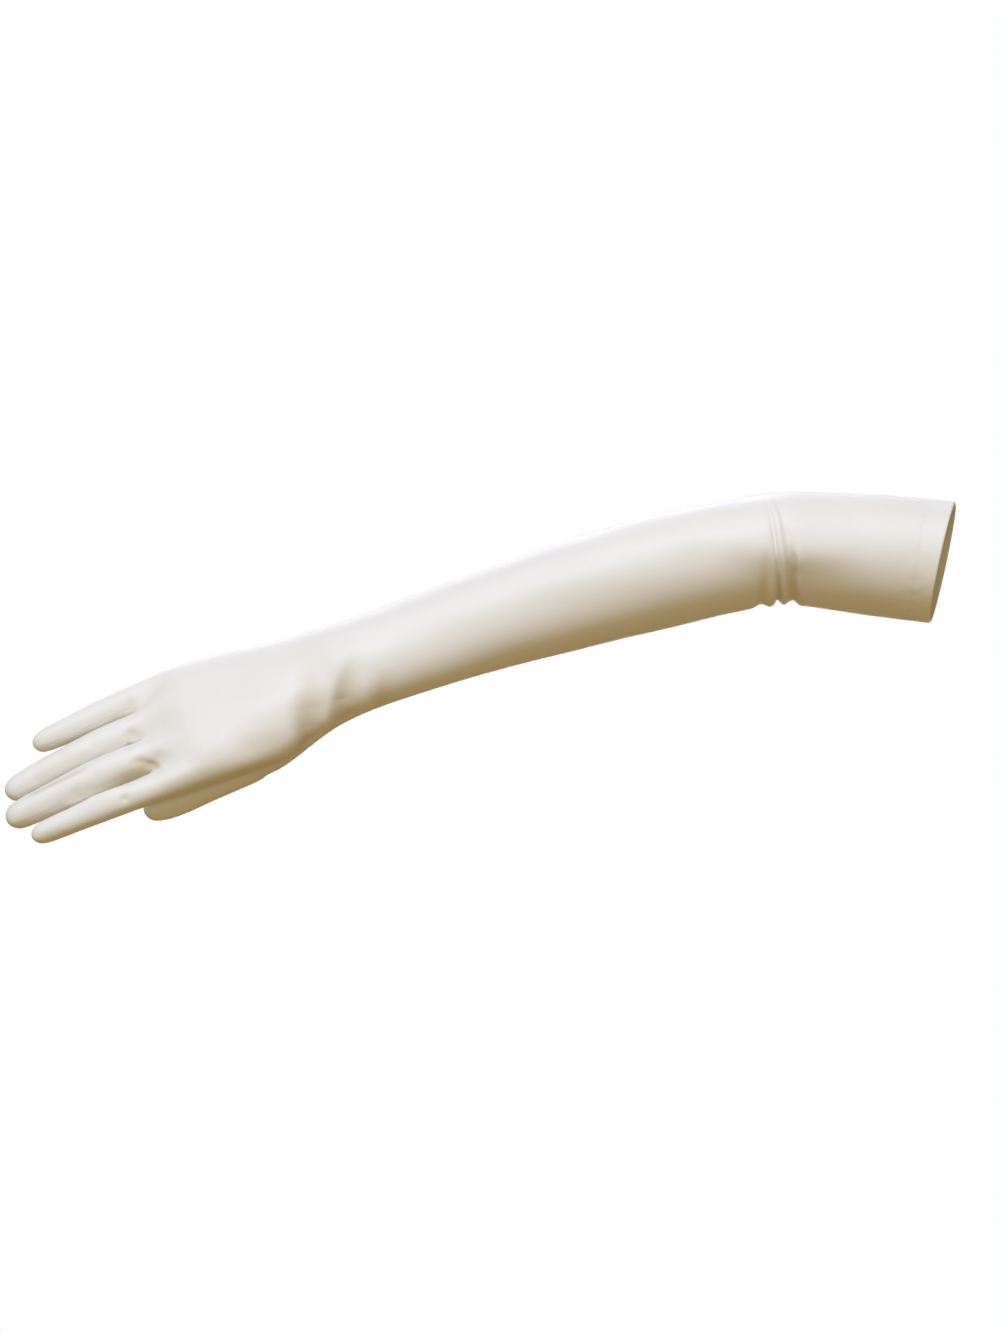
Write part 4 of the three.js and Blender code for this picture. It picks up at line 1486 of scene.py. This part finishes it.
class GloveStitches(bpy.types.PropertyGroup):
    """The thread and its stitches"""

    thread_colour: colour_property("Thread colour", "Colour of the thread", (0.83, 0.81, 0.78))
    thread_radius: length_property("Thread radius", "Radius of the thread", 0.00007, min=0.00002)
    hem_stitch: length_property("Hem stitch", "Length of a hem stitch", 0.0021, min=0.0005)
    hem_pitch: length_property("Hem pitch", "From one hem stitch to the next", 0.0029, min=0.001)
    seam_stitch: length_property("Seam stitch", "Length of a seam stitch", 0.001, min=0.0004)
    seam_pitch: length_property("Seam pitch", "From one seam stitch to the next", 0.0017, min=0.001)
    seed: bpy.props.IntProperty(name="Seed", description="Seed of the small turns", default=4)


class GloveStage(bpy.types.PropertyGroup):
    """The floor, the lights and the camera"""

    floor_colour: colour_property("Floor colour", "Colour of the floor", (0.86, 0.86, 0.85))
    floor_drop: length_property("Floor drop", "How far the floor lies below the cuff", 1.25, min=0.3)
    floor_radius: length_property("Floor radius", "Radius of the floor", 6.0, min=1)
    distance: length_property("Distance", "From the camera to the glove", 3.0, min=1)
    view_height: length_property("View height", "Height of the framed area", 0.7205, min=0.1)
    key_strength: strength_property("Key strength", "Strength of the light from above", 3.0)
    back_strength: strength_property("Back strength", "Strength of the light from behind", 0.9)
    fill_strength: strength_property("Fill strength", "Strength of the light from the front", 0.45)
    rear_strength: strength_property("Rear strength", "Strength of the light on the far side", 1.1)
    ambient_strength: strength_property("Ambient strength", "Strength of the light all round", 0.33)
    key_colour: colour_property("Key colour", "Colour of the lights from above", (0.665, 0.775, 0.983))
    fill_colour: colour_property("Fill colour", "Colour of the light from the front", (0.94, 1, 0.62))
    ambient_colour: colour_property("Ambient colour", "Colour of the light all round", (1, 0.67, 0.29))
    light_spread: bpy.props.FloatProperty(
        name="Light spread", description="Apparent width of each light",
        default=radians(24), min=0, subtype="ANGLE",
    )


def cut_satin(context, name, panel, *nodes):
    """A piece of satin that stands for some solids"""
    cloth = context.scene.glove_cloth
    material = shared_material("ivory_satin", satin_material, cloth, tuple(cloth.satin_colour))
    piece = cloth_piece("satin_" + name, panel, cloth.wall / MM, cloth, material)
    carry(piece, "satin", *nodes)


class CutPanels(bpy.types.Operator):
    """Makes the back and the palm"""

    bl_idname = "glove.cut_panels"
    bl_label = "Back and Palm"

    def execute(self, context):
        for side, panel in (("back", BACK), ("palm", PALM)):
            cut_satin(context, side, panel, side + "_sleeve", side + "_forearm", side + "_hand")
        return {"FINISHED"}


class CutFourchettes(bpy.types.Operator):
    """Makes the strips between the fingers"""

    bl_idname = "glove.cut_fourchettes"
    bl_label = "Fourchettes"

    def execute(self, context):
        for k, node in enumerate(FOURCHETTES):
            cut_satin(context, node, FIRST_FOURCHETTE + k, node)
        return {"FINISHED"}


class CutThumb(bpy.types.Operator):
    """Makes the set-in thumb"""

    bl_idname = "glove.cut_thumb"
    bl_label = "Thumb"

    def execute(self, context):
        cut_satin(context, "thumb", THUMB, "thumb")
        return {"FINISHED"}


class TurnHem(bpy.types.Operator):
    """Makes the turned hem of the cuff"""

    bl_idname = "glove.turn_hem"
    bl_label = "Cuff Hem"

    def execute(self, context):
        cloth = context.scene.glove_cloth
        material = shared_material("ivory_hem_satin", satin_material, cloth, tuple(cloth.hem_colour))
        piece = cloth_piece("satin_hem", HEM, cloth.hem_wall / MM, cloth, material)
        carry(piece, "hem_satin", "cuff_hem")
        return {"FINISHED"}


class SewSeams(bpy.types.Operator):
    """Sews the hem and the seams"""

    bl_idname = "glove.sew_seams"
    bl_label = "Stitches"

    def execute(self, context):
        cloth = context.scene.glove_cloth
        stitches = context.scene.glove_stitches
        thread = shared_material("ivory_thread", thread_material, tuple(stitches.thread_colour))
        along = (stitches.hem_stitch, stitches.hem_pitch, HEM_RISE, 0)
        across = (stitches.seam_stitch, stitches.seam_pitch, SEAM_RISE, pi / 2)
        rows = (
            ("hem_stitches", HEM_SEAM, "hem_satin", *along),
            ("side_seam_stitches", SIDE_SEAM, "satin", *across),
            ("finger_seam_stitches", FOURCHETTE_SEAM, "satin", *across),
            ("thumb_seam_stitches", THUMB_SEAM, "satin", *across),
        )
        for name, kind, slot, length, pitch, rise, turn in rows:
            values = {
                "Stitch Length": length,
                "Pitch": pitch,
                "Thread Radius": stitches.thread_radius,
                "Rise": stitches.thread_radius * rise,
                "Turn": turn,
                "Seed": stitches.seed,
                "Thread": thread,
            }
            carry(sew(name, kind, cloth, values), slot)
        return {"FINISHED"}


def lay_floor(stage):
    """A wide round floor, well below the cuff"""
    around = np.linspace(0, 2 * pi, FLOOR_SIDES, endpoint=False)
    ring = np.stack([np.cos(around), np.sin(around), np.zeros(FLOOR_SIDES)], axis=1)
    ring = (ring * stage.floor_radius - (0, 0, stage.floor_drop)) / MM
    mesh = new_mesh("floor", ring, [np.arange(FLOOR_SIDES)[None, :]])
    paint = shared_material("floor_paint", plain_material, tuple(stage.floor_colour), 0.9)
    floor = add_piece("floor", mesh, paint)
    floor.visible_diffuse = False
    floor.visible_glossy = False


def hang_lights(stage):
    """Broad soft lights from above, from behind, from the front and on the far side"""
    lights = (
        ("key", KEY_FROM, stage.key_strength, stage.key_colour),
        ("back_light", BACK_FROM, stage.back_strength, stage.key_colour),
        ("fill", FILL_FROM, stage.fill_strength, stage.fill_colour),
        ("rear_fill", REAR_FROM, stage.rear_strength, stage.key_colour),
    )
    for name, source, strength, colour in lights:
        light = bpy.data.lights.new(name, "SUN")
        light.energy = strength
        light.angle = stage.light_spread
        light.color = colour
        lamp = add_object(name, light)
        lamp.rotation_euler = Vector(source).to_track_quat("Z", "Y").to_euler()
        lamp.location = Vector(source) * LAMP_DISTANCE


def studio_world(stage):
    """A white backdrop for the camera, and a warm dim light all round for the glove"""
    world = bpy.data.worlds.new("studio")
    world.use_nodes = True
    tree = world.node_tree
    tree.nodes.clear()
    path = tree.nodes.new("ShaderNodeLightPath")
    ambient = add_node(
        tree, "ShaderNodeBackground",
        Color=(*stage.ambient_colour, 1), Strength=stage.ambient_strength,
    )
    backdrop = add_node(tree, "ShaderNodeBackground", Color=(1, 1, 1, 1), Strength=1.0)
    mix = add_node(tree, "ShaderNodeMixShader", Fac=(path, "Is Camera Ray"))
    fill_input(tree, mix.inputs[1], (ambient, "Background"))
    fill_input(tree, mix.inputs[2], (backdrop, "Background"))
    add_node(tree, "ShaderNodeOutputWorld", Surface=(mix, "Shader"))
    return world


def place_camera(stage):
    """A long lens that looks level at the glove's near side"""
    lens = bpy.data.cameras.new("camera")
    lens.sensor_fit = "VERTICAL"
    lens.sensor_height = SENSOR_HEIGHT
    lens.lens = lens.sensor_height * stage.distance / stage.view_height
    lens.clip_end = FARTHEST_SEEN
    camera = add_object("camera", lens)
    camera.location = Vector(VIEW_CENTRE) * MM - Vector((0, stage.distance, 0))
    camera.rotation_euler = (pi / 2, 0, 0)
    return camera


class SetStage(bpy.types.Operator):
    """Makes the floor, the lights and the camera"""

    bl_idname = "glove.set_stage"
    bl_label = "Stage"

    def execute(self, context):
        scene = context.scene
        lay_floor(scene.glove_stage)
        hang_lights(scene.glove_stage)
        scene.world = studio_world(scene.glove_stage)
        scene.camera = place_camera(scene.glove_stage)
        scene.view_settings.view_transform = "Standard"
        return {"FINISHED"}


OPERATORS = (CutPanels, CutFourchettes, CutThumb, TurnHem, SewSeams, SetStage)


class GlovePanel(bpy.types.Panel):
    """Lists the glove's pieces and settings"""

    bl_idname = "VIEW3D_PT_glove"
    bl_label = "Long Satin Glove"
    bl_space_type = "VIEW_3D"
    bl_region_type = "UI"
    bl_category = "Glove"

    def draw(self, context):
        for operator in OPERATORS:
            self.layout.operator(operator.bl_idname)
        for name, group in GROUPS:
            box = self.layout.box()
            for key in group.__annotations__:
                box.prop(getattr(context.scene, name), key)


GROUPS = (
    ("glove_cloth", GloveCloth),
    ("glove_stitches", GloveStitches),
    ("glove_stage", GloveStage),
)
CLASSES = tuple(group for _, group in GROUPS) + OPERATORS + (GlovePanel,)


def register():
    for item in CLASSES:
        bpy.utils.register_class(item)
    for name, group in GROUPS:
        setattr(bpy.types.Scene, name, bpy.props.PointerProperty(type=group))


def unregister():
    for name, _ in GROUPS:
        delattr(bpy.types.Scene, name)
    for item in reversed(CLASSES):
        bpy.utils.unregister_class(item)


def main():
    register()
    bpy.ops.glove.cut_panels()
    bpy.ops.glove.cut_fourchettes()
    bpy.ops.glove.cut_thumb()
    bpy.ops.glove.turn_hem()
    bpy.ops.glove.sew_seams()
    bpy.ops.glove.set_stage()


if __name__ == "__main__":
    main()
